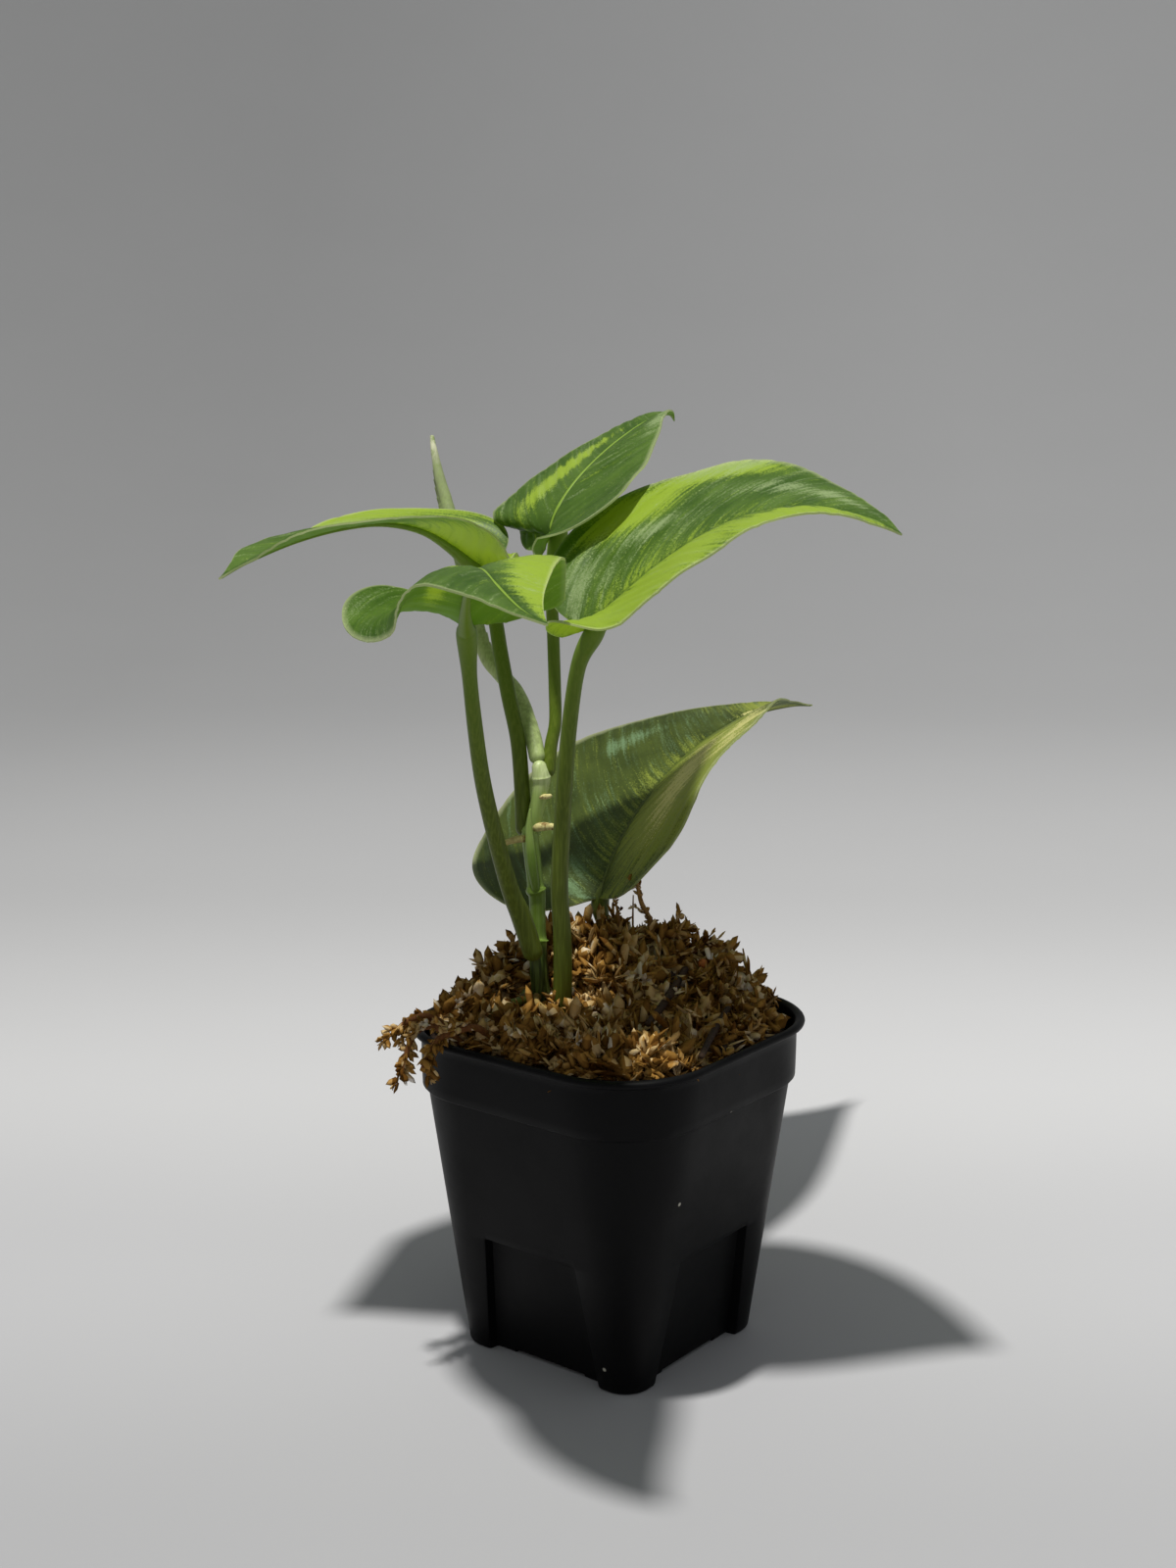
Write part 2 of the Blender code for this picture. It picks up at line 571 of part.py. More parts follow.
def blade_point(midrib, share, reach, side, width, fold, curl):
    """A point of the blade: reach runs out over a half that folds up and then curls."""
    place, up, left = midrib.frame(share)
    start = math.radians(at_station(fold, share))
    bend = math.radians(at_station(curl, share)) / width
    bend = bend if abs(bend) > 0.01 else 0.01
    out = (math.sin(start + bend * reach) - math.sin(start)) / bend
    rise = (math.cos(start) - math.cos(start + bend * reach)) / bend
    return place + left * side * out + up * rise


def blade_sheet(name, leaf, midrib, group):
    """The blade, as one sheet of triangles given its thickness."""
    bm = bmesh.new()
    for side, half in ((1, "left"), (-1, "right")):
        width = leaf["widths"][0 if side > 0 else 1] * MM
        rows = []
        for i in range(BLADE_ROWS + 1):
            x, y = heart_outline(i / BLADE_ROWS, leaf["lobe"], leaf["widest"], leaf["taper"])
            foot = max(x - VEIN_SLANT * y, 0.0)
            row = []
            for j in range(BLADE_COLUMNS + 1):
                v = j / BLADE_COLUMNS
                share = foot + (x - foot) * v ** 1.3
                point = blade_point(midrib, share, y * v * width, side, width, leaf["fold"][half], leaf["curl"][half])
                row.append(bm.verts.new(turned(point)))
            rows.append(row)
        for low, high in zip(rows, rows[1:]):
            for j in range(BLADE_COLUMNS):
                corners = (low[j], high[j], high[j + 1], low[j + 1])
                bm.faces.new(corners if side > 0 else reversed(corners))
    bmesh.ops.remove_doubles(bm, verts=bm.verts, dist=0.01 * MM)
    bmesh.ops.triangulate(bm, faces=bm.faces)
    bmesh.ops.recalc_face_normals(bm, faces=bm.faces)
    obj = add_object(name, mesh_from(name, bm), group)
    solidify = obj.modifiers.new("thickness", "SOLIDIFY")
    solidify.thickness = BLADE_THICKNESS
    solidify.offset = 0.0
    mesh = evaluated_mesh(obj)
    obj.modifiers.clear()
    obj.data = mesh
    return obj


def rib_route(midrib):
    """The raised rib under the blade, as a tapering stalk sunk half into it."""
    route = []
    for share, width in ((0.0, 3.2), (0.05, 2.6), (0.14, 2.1), (0.28, 1.8), (0.45, 1.5), (0.6, 1.2), (0.75, 1.0)):
        place, up, left = midrib.frame(share)
        sunk = place - up * (width * MM / 2 - 0.2 * MM)
        route.append((*(sunk / MM), width))
    return route


def make_leaf(name, leaf, clear_of):
    """One leaf: its stalk, its blade and the rib under the blade, grown as one piece."""
    midrib = Midrib(leaf["midrib"])
    obj = blade_sheet(name, leaf, midrib, PARTS)
    grown = new_collection(name + "_grown")
    tube(name + "_stalk", leaf["stalk"], grown)
    tube(name + "_rib", rib_route(midrib), grown, sides=1, smoothing=1)
    join_all(obj, grown)
    combine(obj, "DIFFERENCE", clear_of)
    return finish(obj, (0.09, 0.17, 0.035), 0.35)


def make_vine():
    vine = tube("vine", VINE_ROUTE, PARTS, smoothing=2)
    growths = new_collection("vine_growths")
    for count, route in enumerate(VINE_GROWTHS):
        tube(f"growth_{count}", route, growths, sides=1, smoothing=2)
    join_all(vine, growths)
    return finish(vine, (0.1, 0.17, 0.03), 0.4)


clear_scene()
PARTS = new_collection("satin_pothos")
CUTTERS = new_collection("cutters")

make_pot()
make_vine()
vine_room = tube("vine_room", VINE_ROUTE, CUTTERS, grow=GAP, smoothing=2)
growth_rooms = [tube(f"growth_room_{k}", route, CUTTERS, sides=1, grow=GAP, smoothing=2)
                for k, route in enumerate(VINE_GROWTHS)]
stalk_rooms = {name: tube(name + "_room", leaf["stalk"], CUTTERS, grow=GAP) for name, leaf in LEAVES.items()}
for name, leaf in LEAVES.items():
    make_leaf(name, leaf, [vine_room] if name != "leaf_low" else [])
new_leaf = tube("new_leaf", NEW_LEAF, PARTS)
combine(new_leaf, "DIFFERENCE", [vine_room, stalk_rooms["leaf_back"], stalk_rooms["leaf_left"]])
finish(new_leaf, (0.35, 0.42, 0.13), 0.4)
aerial_root = tube("aerial_root", AERIAL_ROOT, PARTS)
combine(aerial_root, "DIFFERENCE", [vine_room, growth_rooms[4]])
finish(aerial_root, (0.1, 0.15, 0.03), 0.5)
lying = [tube("aerial_root_room", AERIAL_ROOT, CUTTERS, grow=GAP)]
for name, route in TWIGS.items():
    finish(tube(name, route, PARTS, sides=1), (0.02, 0.012, 0.008), 0.8)
    lying.append(tube(name + "_room", route, CUTTERS, sides=1, grow=GAP))
make_moss([vine_room, *growth_rooms, *lying, *(stalk_rooms[name] for name in ("leaf_right", "leaf_low", "leaf_front"))])
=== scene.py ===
"""A satin pothos rooted in moss in a small square nursery pot, dressed for its portrait.

The plant's own points are in millimetres, as seen from the camera: +X to the right, +Y away from it,
the pot's axis at zero. PLANT_TURN turns them onto the pot, whose walls face along X and Y.
"""
import math
import random

import bmesh
import bpy
from mathutils import Matrix, Vector, noise
from mathutils.geometry import intersect_point_line


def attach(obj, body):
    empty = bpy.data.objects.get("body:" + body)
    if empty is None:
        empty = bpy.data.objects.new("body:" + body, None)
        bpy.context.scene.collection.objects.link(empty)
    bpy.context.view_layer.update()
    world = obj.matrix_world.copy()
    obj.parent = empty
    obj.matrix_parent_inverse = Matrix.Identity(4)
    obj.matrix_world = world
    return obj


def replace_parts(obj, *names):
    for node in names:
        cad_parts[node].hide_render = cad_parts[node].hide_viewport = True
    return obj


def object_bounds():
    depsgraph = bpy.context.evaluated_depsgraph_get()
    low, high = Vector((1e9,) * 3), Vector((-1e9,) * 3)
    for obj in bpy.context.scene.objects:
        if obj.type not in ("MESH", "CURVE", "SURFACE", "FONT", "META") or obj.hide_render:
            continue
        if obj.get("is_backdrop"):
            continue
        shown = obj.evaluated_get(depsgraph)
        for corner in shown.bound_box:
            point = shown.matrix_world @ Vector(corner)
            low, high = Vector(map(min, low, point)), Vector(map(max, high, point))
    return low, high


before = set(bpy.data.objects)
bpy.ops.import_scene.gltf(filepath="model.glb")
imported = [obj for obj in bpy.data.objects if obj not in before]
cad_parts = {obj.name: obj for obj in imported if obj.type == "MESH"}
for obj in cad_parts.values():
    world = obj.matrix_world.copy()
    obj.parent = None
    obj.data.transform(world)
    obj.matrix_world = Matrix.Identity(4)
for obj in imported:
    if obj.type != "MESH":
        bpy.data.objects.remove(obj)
cad_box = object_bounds()

# The studio: a pale matte board that curves up all round, one small lamp high on the left and a grey
# room behind the camera. The camera looks down 12 degrees from as far off as the pot's lip and foot ask.
MM = 0.001
PLANT_TURN = math.radians(37.6)
TURN = Matrix.Rotation(PLANT_TURN, 4, "Z")
CAMERA_PLACE = (0.0, -473.2, 227.9)
CAMERA_DOWN, CAMERA_RIGHT, CAMERA_ROLL = 0.206, -0.010, -0.003
CAMERA_LENS = 50.625            # on the long side of a 36 mm film
LAMP_PLACE = (-249.0, -336.0, 2099.0)
LAMP_SIZE = 110.0
LAMP_POWER = 50.0
BOARD_RADIUS = 2400.0
BOARD_SWEEP = 1500.0
# painted light on the board: its colour at each distance in mm before or behind the pot, as seen from the camera
BOARD_PAINTED_LIGHT = ((-100, "a3a3a4"), (40, "b3b3b4"), (170, "bfbfbf"), (420, "aeaeae"), (900, "a2a2a2"), (1700, "a0a0a0"), (2400, "a4a4a4"))


def srgb(code):
    """The linear colour of a hex code."""
    parts = [int(code[k:k + 2], 16) / 255 for k in (0, 2, 4)]
    return tuple(((c + 0.055) / 1.055) ** 2.4 if c > 0.04045 else c / 12.92 for c in parts) + (1.0,)


def new_material(name):
    """An empty material, and the output that its last shader goes to."""
    material = bpy.data.materials.new(name)
    material.use_nodes = True
    material.node_tree.nodes.clear()
    return material, material.node_tree.nodes.new("ShaderNodeOutputMaterial")


def add_node(material, kind, inputs=None, **settings):
    """Adds a node; an input is a number, a colour or the output that feeds it."""
    node = material.node_tree.nodes.new(kind)
    for name, value in settings.items():
        setattr(node, name, value)
    for name, value in (inputs or {}).items():
        if isinstance(value, bpy.types.NodeSocket):
            material.node_tree.links.new(value, node.inputs[name])
        else:
            node.inputs[name].default_value = value
    return node


def add_piece(name, bm, materials, smooth=True):
    """Turns a bmesh into a piece of the scene."""
    mesh = bpy.data.meshes.new(name)
    bm.to_mesh(mesh)
    bm.free()
    piece = bpy.data.objects.new(name, mesh)
    bpy.context.scene.collection.objects.link(piece)
    for material in materials:
        mesh.materials.append(material)
    if smooth:
        mesh.shade_smooth()
    return piece


def shaped_grid(rows, columns, place, bm=None):
    """A grid of rows by columns whose point (u, v), each from 0 to 1, is moved to place(u, v).

    Points that meet are welded, so that tubes and tips close. Each corner keeps its (u, v) as UV.
    """
    bm = bm or bmesh.new()
    uv = bm.loops.layers.uv.verify()
    made = bmesh.ops.create_grid(bm, x_segments=rows, y_segments=columns, size=0.5)["verts"]
    flat = {vertex: (vertex.co.x + 0.5, vertex.co.y + 0.5) for vertex in made}
    for face in {face for vertex in made for face in vertex.link_faces}:
        for loop in face.loops:
            loop[uv].uv = flat[loop.vert]
    for vertex, (u, v) in flat.items():
        vertex.co = place(u, v)
    bmesh.ops.remove_doubles(bm, verts=made, dist=0.004 * MM)
    return bm


scene = bpy.context.scene
camera = bpy.data.objects.new("photo_view", bpy.data.cameras.new("photo_view"))
camera.data.sensor_fit = "VERTICAL"
camera.data.sensor_height = 36.0
camera.data.lens = CAMERA_LENS
camera.data.clip_start = 0.01
ahead = Vector((math.sin(CAMERA_RIGHT) * math.cos(CAMERA_DOWN), math.cos(CAMERA_RIGHT) * math.cos(CAMERA_DOWN),
                -math.sin(CAMERA_DOWN)))
across = Vector((math.cos(CAMERA_RIGHT), -math.sin(CAMERA_RIGHT), 0.0))
upward = across.cross(ahead)
across, upward = (math.cos(CAMERA_ROLL) * across + math.sin(CAMERA_ROLL) * upward,
                  math.cos(CAMERA_ROLL) * upward - math.sin(CAMERA_ROLL) * across)
facing = Matrix((across, upward, -ahead)).transposed().to_4x4()
camera.matrix_world = TURN @ Matrix.Translation(Vector(CAMERA_PLACE) * MM) @ facing
scene.collection.objects.link(camera)
scene.camera = camera

lamp = bpy.data.objects.new("high_lamp", bpy.data.lights.new("high_lamp", "AREA"))
lamp.data.shape = "DISK"
lamp.data.size = LAMP_SIZE * MM
lamp.data.energy = LAMP_POWER
lamp.data.color = (1.0, 0.985, 0.965)
lamp_place = TURN @ (Vector(LAMP_PLACE) * MM)
lamp.matrix_world = Matrix.Translation(lamp_place) @ lamp_place.to_track_quat("Z", "Y").to_matrix().to_4x4()
scene.collection.objects.link(lamp)

scene.world = bpy.data.worlds.new("grey_room")
scene.world.use_nodes = True
scene.world.node_tree.nodes["Background"].inputs["Color"].default_value = srgb("dfe4e8")
scene.world.node_tree.nodes["Background"].inputs["Strength"].default_value = 0.38
scene.view_settings.view_transform = "Standard"

# matte photo board: pale warm grey, with a faint mottle that the lamp brings out, and a painted pool of light: lightest
# just behind the pot, darker towards the front and far off, and darker on the left than the right
board_paper, output = new_material("matte_photo_board")
coords = add_node(board_paper, "ShaderNodeTexCoord").outputs["Object"]
mottle = add_node(board_paper, "ShaderNodeTexNoise", {"Vector": coords, "Scale": 9.0, "Detail": 3.0}).outputs["Fac"]
from_camera = add_node(board_paper, "ShaderNodeMapping", {"Vector": coords, "Rotation": (0, 0, -PLANT_TURN)}).outputs["Vector"]
from_camera = add_node(board_paper, "ShaderNodeSeparateXYZ", {"Vector": from_camera})
# painted light: the board gets lighter or darker with its distance from the pot
deep = add_node(board_paper, "ShaderNodeMapRange", {"Value": from_camera.outputs["Y"], "From Min": BOARD_PAINTED_LIGHT[0][0] * MM,
                                                    "From Max": BOARD_PAINTED_LIGHT[-1][0] * MM}).outputs["Result"]
ramp = add_node(board_paper, "ShaderNodeValToRGB", {"Fac": deep})
ramp.color_ramp.interpolation = "EASE"
while len(ramp.color_ramp.elements) < len(BOARD_PAINTED_LIGHT):
    ramp.color_ramp.elements.new(1.0)
for (y, code), stop in zip(BOARD_PAINTED_LIGHT, ramp.color_ramp.elements):
    stop.position = (y - BOARD_PAINTED_LIGHT[0][0]) / (BOARD_PAINTED_LIGHT[-1][0] - BOARD_PAINTED_LIGHT[0][0])
    stop.color = srgb(code)
# painted light: the board darkens towards the left and lightens towards the right
painted_side_light = add_node(board_paper, "ShaderNodeMapRange", {"Value": from_camera.outputs["X"], "From Min": -0.32, "From Max": 0.32,
                                                        "To Min": 0.88, "To Max": 1.13}).outputs["Result"]
painted_side_light = add_node(board_paper, "ShaderNodeMath", {0: mottle, 1: 0.03, 2: painted_side_light}, operation="MULTIPLY_ADD").outputs["Value"]
paper = add_node(board_paper, "ShaderNodeVectorMath", {0: ramp.outputs["Color"], "Scale": painted_side_light}, operation="SCALE").outputs["Vector"]
shader = add_node(board_paper, "ShaderNodeBsdfPrincipled", {"Base Color": paper, "Roughness": 0.7,
                                                            "Specular IOR Level": 0.15})
board_paper.node_tree.links.new(shader.outputs["BSDF"], output.inputs["Surface"])


def board_point(u, v):
    """The board: flat to its sweep, then a quarter turn up."""
    turn = v * math.tau
    if u < 0.5:
        out, rise = (BOARD_RADIUS - BOARD_SWEEP) * u * 2, 0.0
    else:
        bend = (u - 0.5) * math.pi
        out = BOARD_RADIUS - BOARD_SWEEP + BOARD_SWEEP * math.sin(bend)
        rise = BOARD_SWEEP * (1 - math.cos(bend))
    return Vector((math.cos(turn) * out, math.sin(turn) * out, rise)) * MM


bm = shaped_grid(32, 96, board_point)
bmesh.ops.recalc_face_normals(bm, faces=bm.faces)
if sum(face.normal.z for face in bm.faces) < 0:
    bmesh.ops.reverse_faces(bm, faces=bm.faces)
board = add_piece("photo_board", bm, [board_paper])
board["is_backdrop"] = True

# The pot is one moulding of black polypropylene, 75 mm square at its rolled lip. Its walls taper, a
# plain band stands proud under the lip, and each wall is let in low down between the corner feet.
POT_HEIGHT, STEP_HEIGHT = 75.6, 61.5
FOOT_HALF, STEP_HALF, LIP_HALF = 24.5, 34.4, 37.5
FOOT_CORNER, LIP_CORNER = 6.0, 21.7
BAND_PROUD = 0.9
POT_WALL = 1.1
FLOOR_THICKNESS = 2.4
RECESS_TOP, RECESS_TOP_HALF, RECESS_FOOT_HALF, RECESS_DEPTH = 29.0, 12.5, 15.5, 2.4
CORNER_STEPS = 14
RECESS_EDGE = ((-0.6, 0.0), (-0.22, 0.07), (0.0, 0.5), (0.22, 0.93), (0.6, 1.0))   # past the edge, share of the depth
CHANNEL_HALF, CHANNEL_START, CHANNEL_DEPTH = 10.0, 9.0, 1.0
DRAIN_RADIUS, DRAIN_DISTANCE = 3.0, 15.5


def wall_half(z):
    return FOOT_HALF + (STEP_HALF - FOOT_HALF) * z / STEP_HEIGHT


def corner_radius(z):
    return FOOT_CORNER + (LIP_CORNER - FOOT_CORNER) * z / POT_HEIGHT


def eased(values, x):
    """The share for x from a list of (x, share)."""
    for (low, start), (high, end) in zip(values, values[1:]):
        if x < high:
            return start + (end - start) * max(x - low, 0.0) / (high - low)
    return values[-1][1]


def pot_ring(z, half, inset):
    """Points round the pot at one height, dense at the recesses' edges."""
    radius = corner_radius(z) - inset
    flat = half - radius
    recess_half = RECESS_TOP_HALF + (RECESS_FOOT_HALF - RECESS_TOP_HALF) * max(0.0, 1 - z / RECESS_TOP) + inset
    height_share = eased(RECESS_EDGE, RECESS_TOP + inset - z)
    side = [(-flat, 0.0)]
    side += [(-(recess_half - past), share) for past, share in RECESS_EDGE]
    middle = recess_half - RECESS_EDGE[-1][0]
    side += [(middle * k / 4, 1.0) for k in range(-3, 4)]
    side += [(recess_half - past, share) for past, share in reversed(RECESS_EDGE)]
    side += [(flat, 0.0)]
    ring = []
    for quarter in range(4):
        turn = Matrix.Rotation(quarter * math.pi / 2, 3, "Z")
        for x, share in side:
            ring.append(turn @ Vector((x, -half + RECESS_DEPTH * share * height_share, z)))
        for step in range(1, CORNER_STEPS):
            angle = (step / CORNER_STEPS - 1) * math.pi / 2
            ring.append(turn @ Vector((flat + radius * math.cos(angle), -flat + radius * math.sin(angle), z)))
    return ring + ring[:1]


band_half = wall_half(STEP_HEIGHT) + BAND_PROUD
POT_OUTSIDE = [(0.0, wall_half(0) - 0.8), (0.1, wall_half(0) - 0.35), (0.35, wall_half(0) - 0.1), (0.8, wall_half(0.8))]
POT_OUTSIDE += [(z, wall_half(z)) for z in (4, 9, 14, 19, 24, 27, 28.4, 28.78, 29.0, 29.22, 29.6, 31, 36, 42, 48, 54, 59,
                                            61.1, 61.4)]
POT_OUTSIDE += [(61.55, band_half - 0.62), (61.75, band_half - 0.25), (62.1, band_half), (64, band_half + 0.15),
                (68, band_half + 0.45), (72, band_half + 0.7), (73.3, band_half + 0.8), (73.6, band_half + 1.0),
                (73.9, LIP_HALF - 0.5), (74.2, LIP_HALF - 0.12), (74.6, LIP_HALF), (75.0, LIP_HALF - 0.08),
                (75.35, LIP_HALF - 0.3), (75.55, LIP_HALF - 0.62), (75.6, LIP_HALF - 1.0)]
POT_INSIDE = [(75.55, LIP_HALF - 1.4), (75.3, LIP_HALF - 1.75), (74.8, LIP_HALF - 1.98), (72, 35.3), (66, 34.8), (62.4, 34.5),
              (61.6, 34.1), (60.7, wall_half(60.7) - POT_WALL)]
POT_INSIDE += [(z, wall_half(z) - POT_WALL) for z in (50, 40, 31, 30.7, 30.32, 30.1, 29.88, 29.5, 24, 12, FLOOR_THICKNESS)]
pot_rings = [pot_ring(z, half, 0.0) for z, half in POT_OUTSIDE] + [pot_ring(z, half, POT_WALL) for z, half in POT_INSIDE]


def pot_point(u, v):
    ring = pot_rings[round(u * (len(pot_rings) - 1))]
    return ring[round(v * (len(ring) - 1))] * MM


# moulded polypropylene: black with a soft satin shine, a fine orange-peel skin, rubbed patches and dust
black_plastic, output = new_material("moulded_black_polypropylene")
coords = add_node(black_plastic, "ShaderNodeTexCoord").outputs["Object"]
peel = add_node(black_plastic, "ShaderNodeTexNoise", {"Vector": coords, "Scale": 1 / (0.9 * MM), "Detail": 3.0}).outputs["Fac"]
rub = add_node(black_plastic, "ShaderNodeTexNoise", {"Vector": coords, "Scale": 1 / (17 * MM), "Detail": 6.0,
                                                    "Roughness": 0.65}).outputs["Fac"]
dust_cell = add_node(black_plastic, "ShaderNodeTexVoronoi", {"Vector": coords, "Scale": 1 / (11 * MM)}).outputs["Distance"]
dust = add_node(black_plastic, "ShaderNodeMapRange", {"Value": dust_cell, "From Min": 0.05, "From Max": 0.028}).outputs["Result"]
tint = add_node(black_plastic, "ShaderNodeMix", {"Factor": rub, "A": srgb("020203"), "B": srgb("070708")},
                data_type="RGBA").outputs["Result"]
tint = add_node(black_plastic, "ShaderNodeMix", {"Factor": dust, "A": tint, "B": srgb("b9b6a8")}, data_type="RGBA").outputs["Result"]
rough = add_node(black_plastic, "ShaderNodeMapRange", {"Value": rub, "From Min": 0.3, "From Max": 0.7, "To Min": 0.42,
                                                      "To Max": 0.56}).outputs["Result"]
bump = add_node(black_plastic, "ShaderNodeBump", {"Height": peel, "Strength": 0.22, "Distance": 0.05 * MM}).outputs["Normal"]
shader = add_node(black_plastic, "ShaderNodeBsdfPrincipled", {"Base Color": tint, "Roughness": rough, "Normal": bump,
                                                             "IOR": 1.49, "Specular IOR Level": 0.12})
black_plastic.node_tree.links.new(shader.outputs["BSDF"], output.inputs["Surface"])

bm = shaped_grid(len(pot_rings) - 1, len(pot_rings[0]) - 1, pot_point)
bmesh.ops.holes_fill(bm, edges=[edge for edge in bm.edges if edge.is_boundary], sides=0)
bmesh.ops.recalc_face_normals(bm, faces=bm.faces)
pot = add_piece("nursery_pot", bm, [black_plastic])

# The underside is let in between the feet and has four drain holes, cut from the same wedge and rods.
cut = bmesh.new()
for quarter in range(4):
    turn = Matrix.Rotation(quarter * math.pi / 2, 4, "Z")
    length = FOOT_HALF - CHANNEL_START
    bmesh.ops.create_cube(cut, size=1.0, matrix=turn @ Matrix.Translation((0, -(CHANNEL_START + length / 2) * MM, 0))
                          @ Matrix.Diagonal((2 * CHANNEL_HALF * MM, length * MM, 2 * CHANNEL_DEPTH * MM, 1)))
    bmesh.ops.create_cone(cut, cap_ends=True, segments=40, radius1=DRAIN_RADIUS * MM, radius2=DRAIN_RADIUS * MM,
                          depth=4 * FLOOR_THICKNESS * MM, matrix=turn @ Matrix.Translation((0, -DRAIN_DISTANCE * MM, 0)))
cutter = add_piece("underside_cutter", cut, [])
carve = pot.modifiers.new("underside", "BOOLEAN")
carve.operation, carve.solver, carve.object, carve.use_self = "DIFFERENCE", "EXACT", cutter, True


def apply_modifiers(piece):
    """Keeps the shape that a piece's modifiers give it."""
    bpy.context.view_layer.update()
    mesh = bpy.data.meshes.new_from_object(piece.evaluated_get(bpy.context.evaluated_depsgraph_get()))
    piece.modifiers.clear()
    piece.data = mesh
    return mesh


apply_modifiers(pot).set_sharp_from_angle(angle=math.radians(38))
bpy.data.objects.remove(cutter, do_unlink=True)
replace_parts(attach(pot, "root"), "pot")

# The filling is long-fibre sphagnum moss, dried and wetted again: a packed bed that follows the pot's
# inside, heaped behind the stem, under a thatch of loose tan branches with pointed leaf scales.
MOSS_LEVEL = 74.5
MOSS_HUMPS = (((-2, 20), 11.5, (24, 20)), ((-14, -1), -6.5, (9, 9)), ((47, 1), -6.0, (7, 7)))   # centre, height, spread
BED_HALF = LIP_HALF - 2.2 - POT_WALL - 0.3
BED_CORNER = LIP_CORNER - POT_WALL - 0.3
SPRIG_PATTERNS = 7
SPRIGS_EACH = 1150
SCALES_EACH = 7


def moss_height(x, y):
    """The bed's height over a point of the plant's own frame."""
    humps = sum(height * math.exp(-(((x - cx) / sx) ** 2 + ((y - cy) / sy) ** 2) / 2)
                for (cx, cy), height, (sx, sy) in MOSS_HUMPS)
    ripple = math.sin(x / 3.1) * math.cos(y / 2.7) + math.sin((x + 2 * y) / 4.3)
    return MOSS_LEVEL + humps + 0.6 * ripple


def moss_level(place):
    """The bed's height over a point of the pot's frame."""
    seen = Matrix.Rotation(-PLANT_TURN, 3, "Z") @ place
    return moss_height(seen.x, seen.y)


bed_low = [(FLOOR_THICKNESS + 0.3, 0), (10, 0), (20, 0), (29, 0), (31, 0), (40, 0), (50, 0), (60, 0)]
bed_rings = [pot_ring(z, wall_half(z) - POT_WALL - 0.3, POT_WALL + 0.3) for z, _ in bed_low]
bed_rings.append(pot_ring(66, BED_HALF, POT_WALL + 0.3))
for shrink, sunk in ([(1.0, 3.0), (0.98, 1.4), (0.95, 0.6)] + [(0.92 - 0.92 * k / 30, 0.0) for k in range(31)]):
    ring = []
    for point in bed_rings[8]:
        place = Vector((point.x * shrink, point.y * shrink, 0))
        lump = 1.3 * noise.noise(place / 4.5) + 0.8 * noise.noise(place / 1.9)
        ring.append(place + Vector((0, 0, moss_level(place) - sunk - 0.8 + lump * min(1.0, 3 - 3 * shrink + 0.2))))
    bed_rings.append(ring)


def bed_point(u, v):
    ring = bed_rings[round(u * (len(bed_rings) - 1))]
    return ring[round(v * (len(ring) - 1))] * MM


# packed wet moss: dark brown, matt and fibrous, seen only between the branches
wet_moss, output = new_material("packed_wet_moss")
coords = add_node(wet_moss, "ShaderNodeTexCoord").outputs["Object"]
fibre = add_node(wet_moss, "ShaderNodeTexNoise", {"Vector": coords, "Scale": 1 / (1.2 * MM), "Detail": 5.0,
                                                "Distortion": 1.5}).outputs["Fac"]
tint = add_node(wet_moss, "ShaderNodeMix", {"Factor": fibre, "A": srgb("180c03"), "B": srgb("3c2408")},
                data_type="RGBA").outputs["Result"]
bump = add_node(wet_moss, "ShaderNodeBump", {"Height": fibre, "Strength": 0.8, "Distance": 0.6 * MM}).outputs["Normal"]
shader = add_node(wet_moss, "ShaderNodeBsdfPrincipled", {"Base Color": tint, "Roughness": 0.85, "Normal": bump})
wet_moss.node_tree.links.new(shader.outputs["BSDF"], output.inputs["Surface"])

# dried sphagnum: tan to cream scales, papery, with rust-brown shreds among them; light glows through tips
dry_moss, output = new_material("dried_sphagnum")
coords = add_node(dry_moss, "ShaderNodeTexCoord").outputs["Object"]
clump = add_node(dry_moss, "ShaderNodeTexNoise", {"Vector": coords, "Scale": 1 / (7 * MM), "Detail": 2.0}).outputs["Fac"]
shred = add_node(dry_moss, "ShaderNodeTexVoronoi", {"Vector": coords, "Scale": 1 / (2.6 * MM)}).outputs["Color"]
shred = add_node(dry_moss, "ShaderNodeSeparateColor", {"Color": shred}).outputs["Red"]
blend = add_node(dry_moss, "ShaderNodeMath", {0: clump, 1: shred}, operation="ADD").outputs["Value"]
ramp = add_node(dry_moss, "ShaderNodeValToRGB")
stops = ((0.26, "5e3a0e"), (0.42, "85581c"), (0.60, "b08440"), (0.78, "dcc08a"))
for (place, code), stop in zip(stops, [ramp.color_ramp.elements[0], ramp.color_ramp.elements[1],
                                       ramp.color_ramp.elements.new(0.62), ramp.color_ramp.elements.new(0.9)]):
    stop.position, stop.color = place, srgb(code)
half_blend = add_node(dry_moss, "ShaderNodeMath", {0: blend, 1: 0.55}, operation="MULTIPLY").outputs["Value"]
dry_moss.node_tree.links.new(half_blend, ramp.inputs["Fac"])
grain = add_node(dry_moss, "ShaderNodeTexNoise", {"Vector": coords, "Scale": 1 / (0.35 * MM), "Detail": 2.0}).outputs["Fac"]
bump = add_node(dry_moss, "ShaderNodeBump", {"Height": grain, "Strength": 0.5, "Distance": 0.15 * MM}).outputs["Normal"]
shader = add_node(dry_moss, "ShaderNodeBsdfPrincipled", {"Base Color": ramp.outputs["Color"], "Roughness": 0.85, "Normal": bump,
                                                        "Specular IOR Level": 0.08})
glow = add_node(dry_moss, "ShaderNodeBsdfTranslucent", {"Color": ramp.outputs["Color"]})
mixed = add_node(dry_moss, "ShaderNodeMixShader", {0: 0.25, 1: shader.outputs["BSDF"], 2: glow.outputs["BSDF"]})
dry_moss.node_tree.links.new(mixed.outputs["Shader"], output.inputs["Surface"])

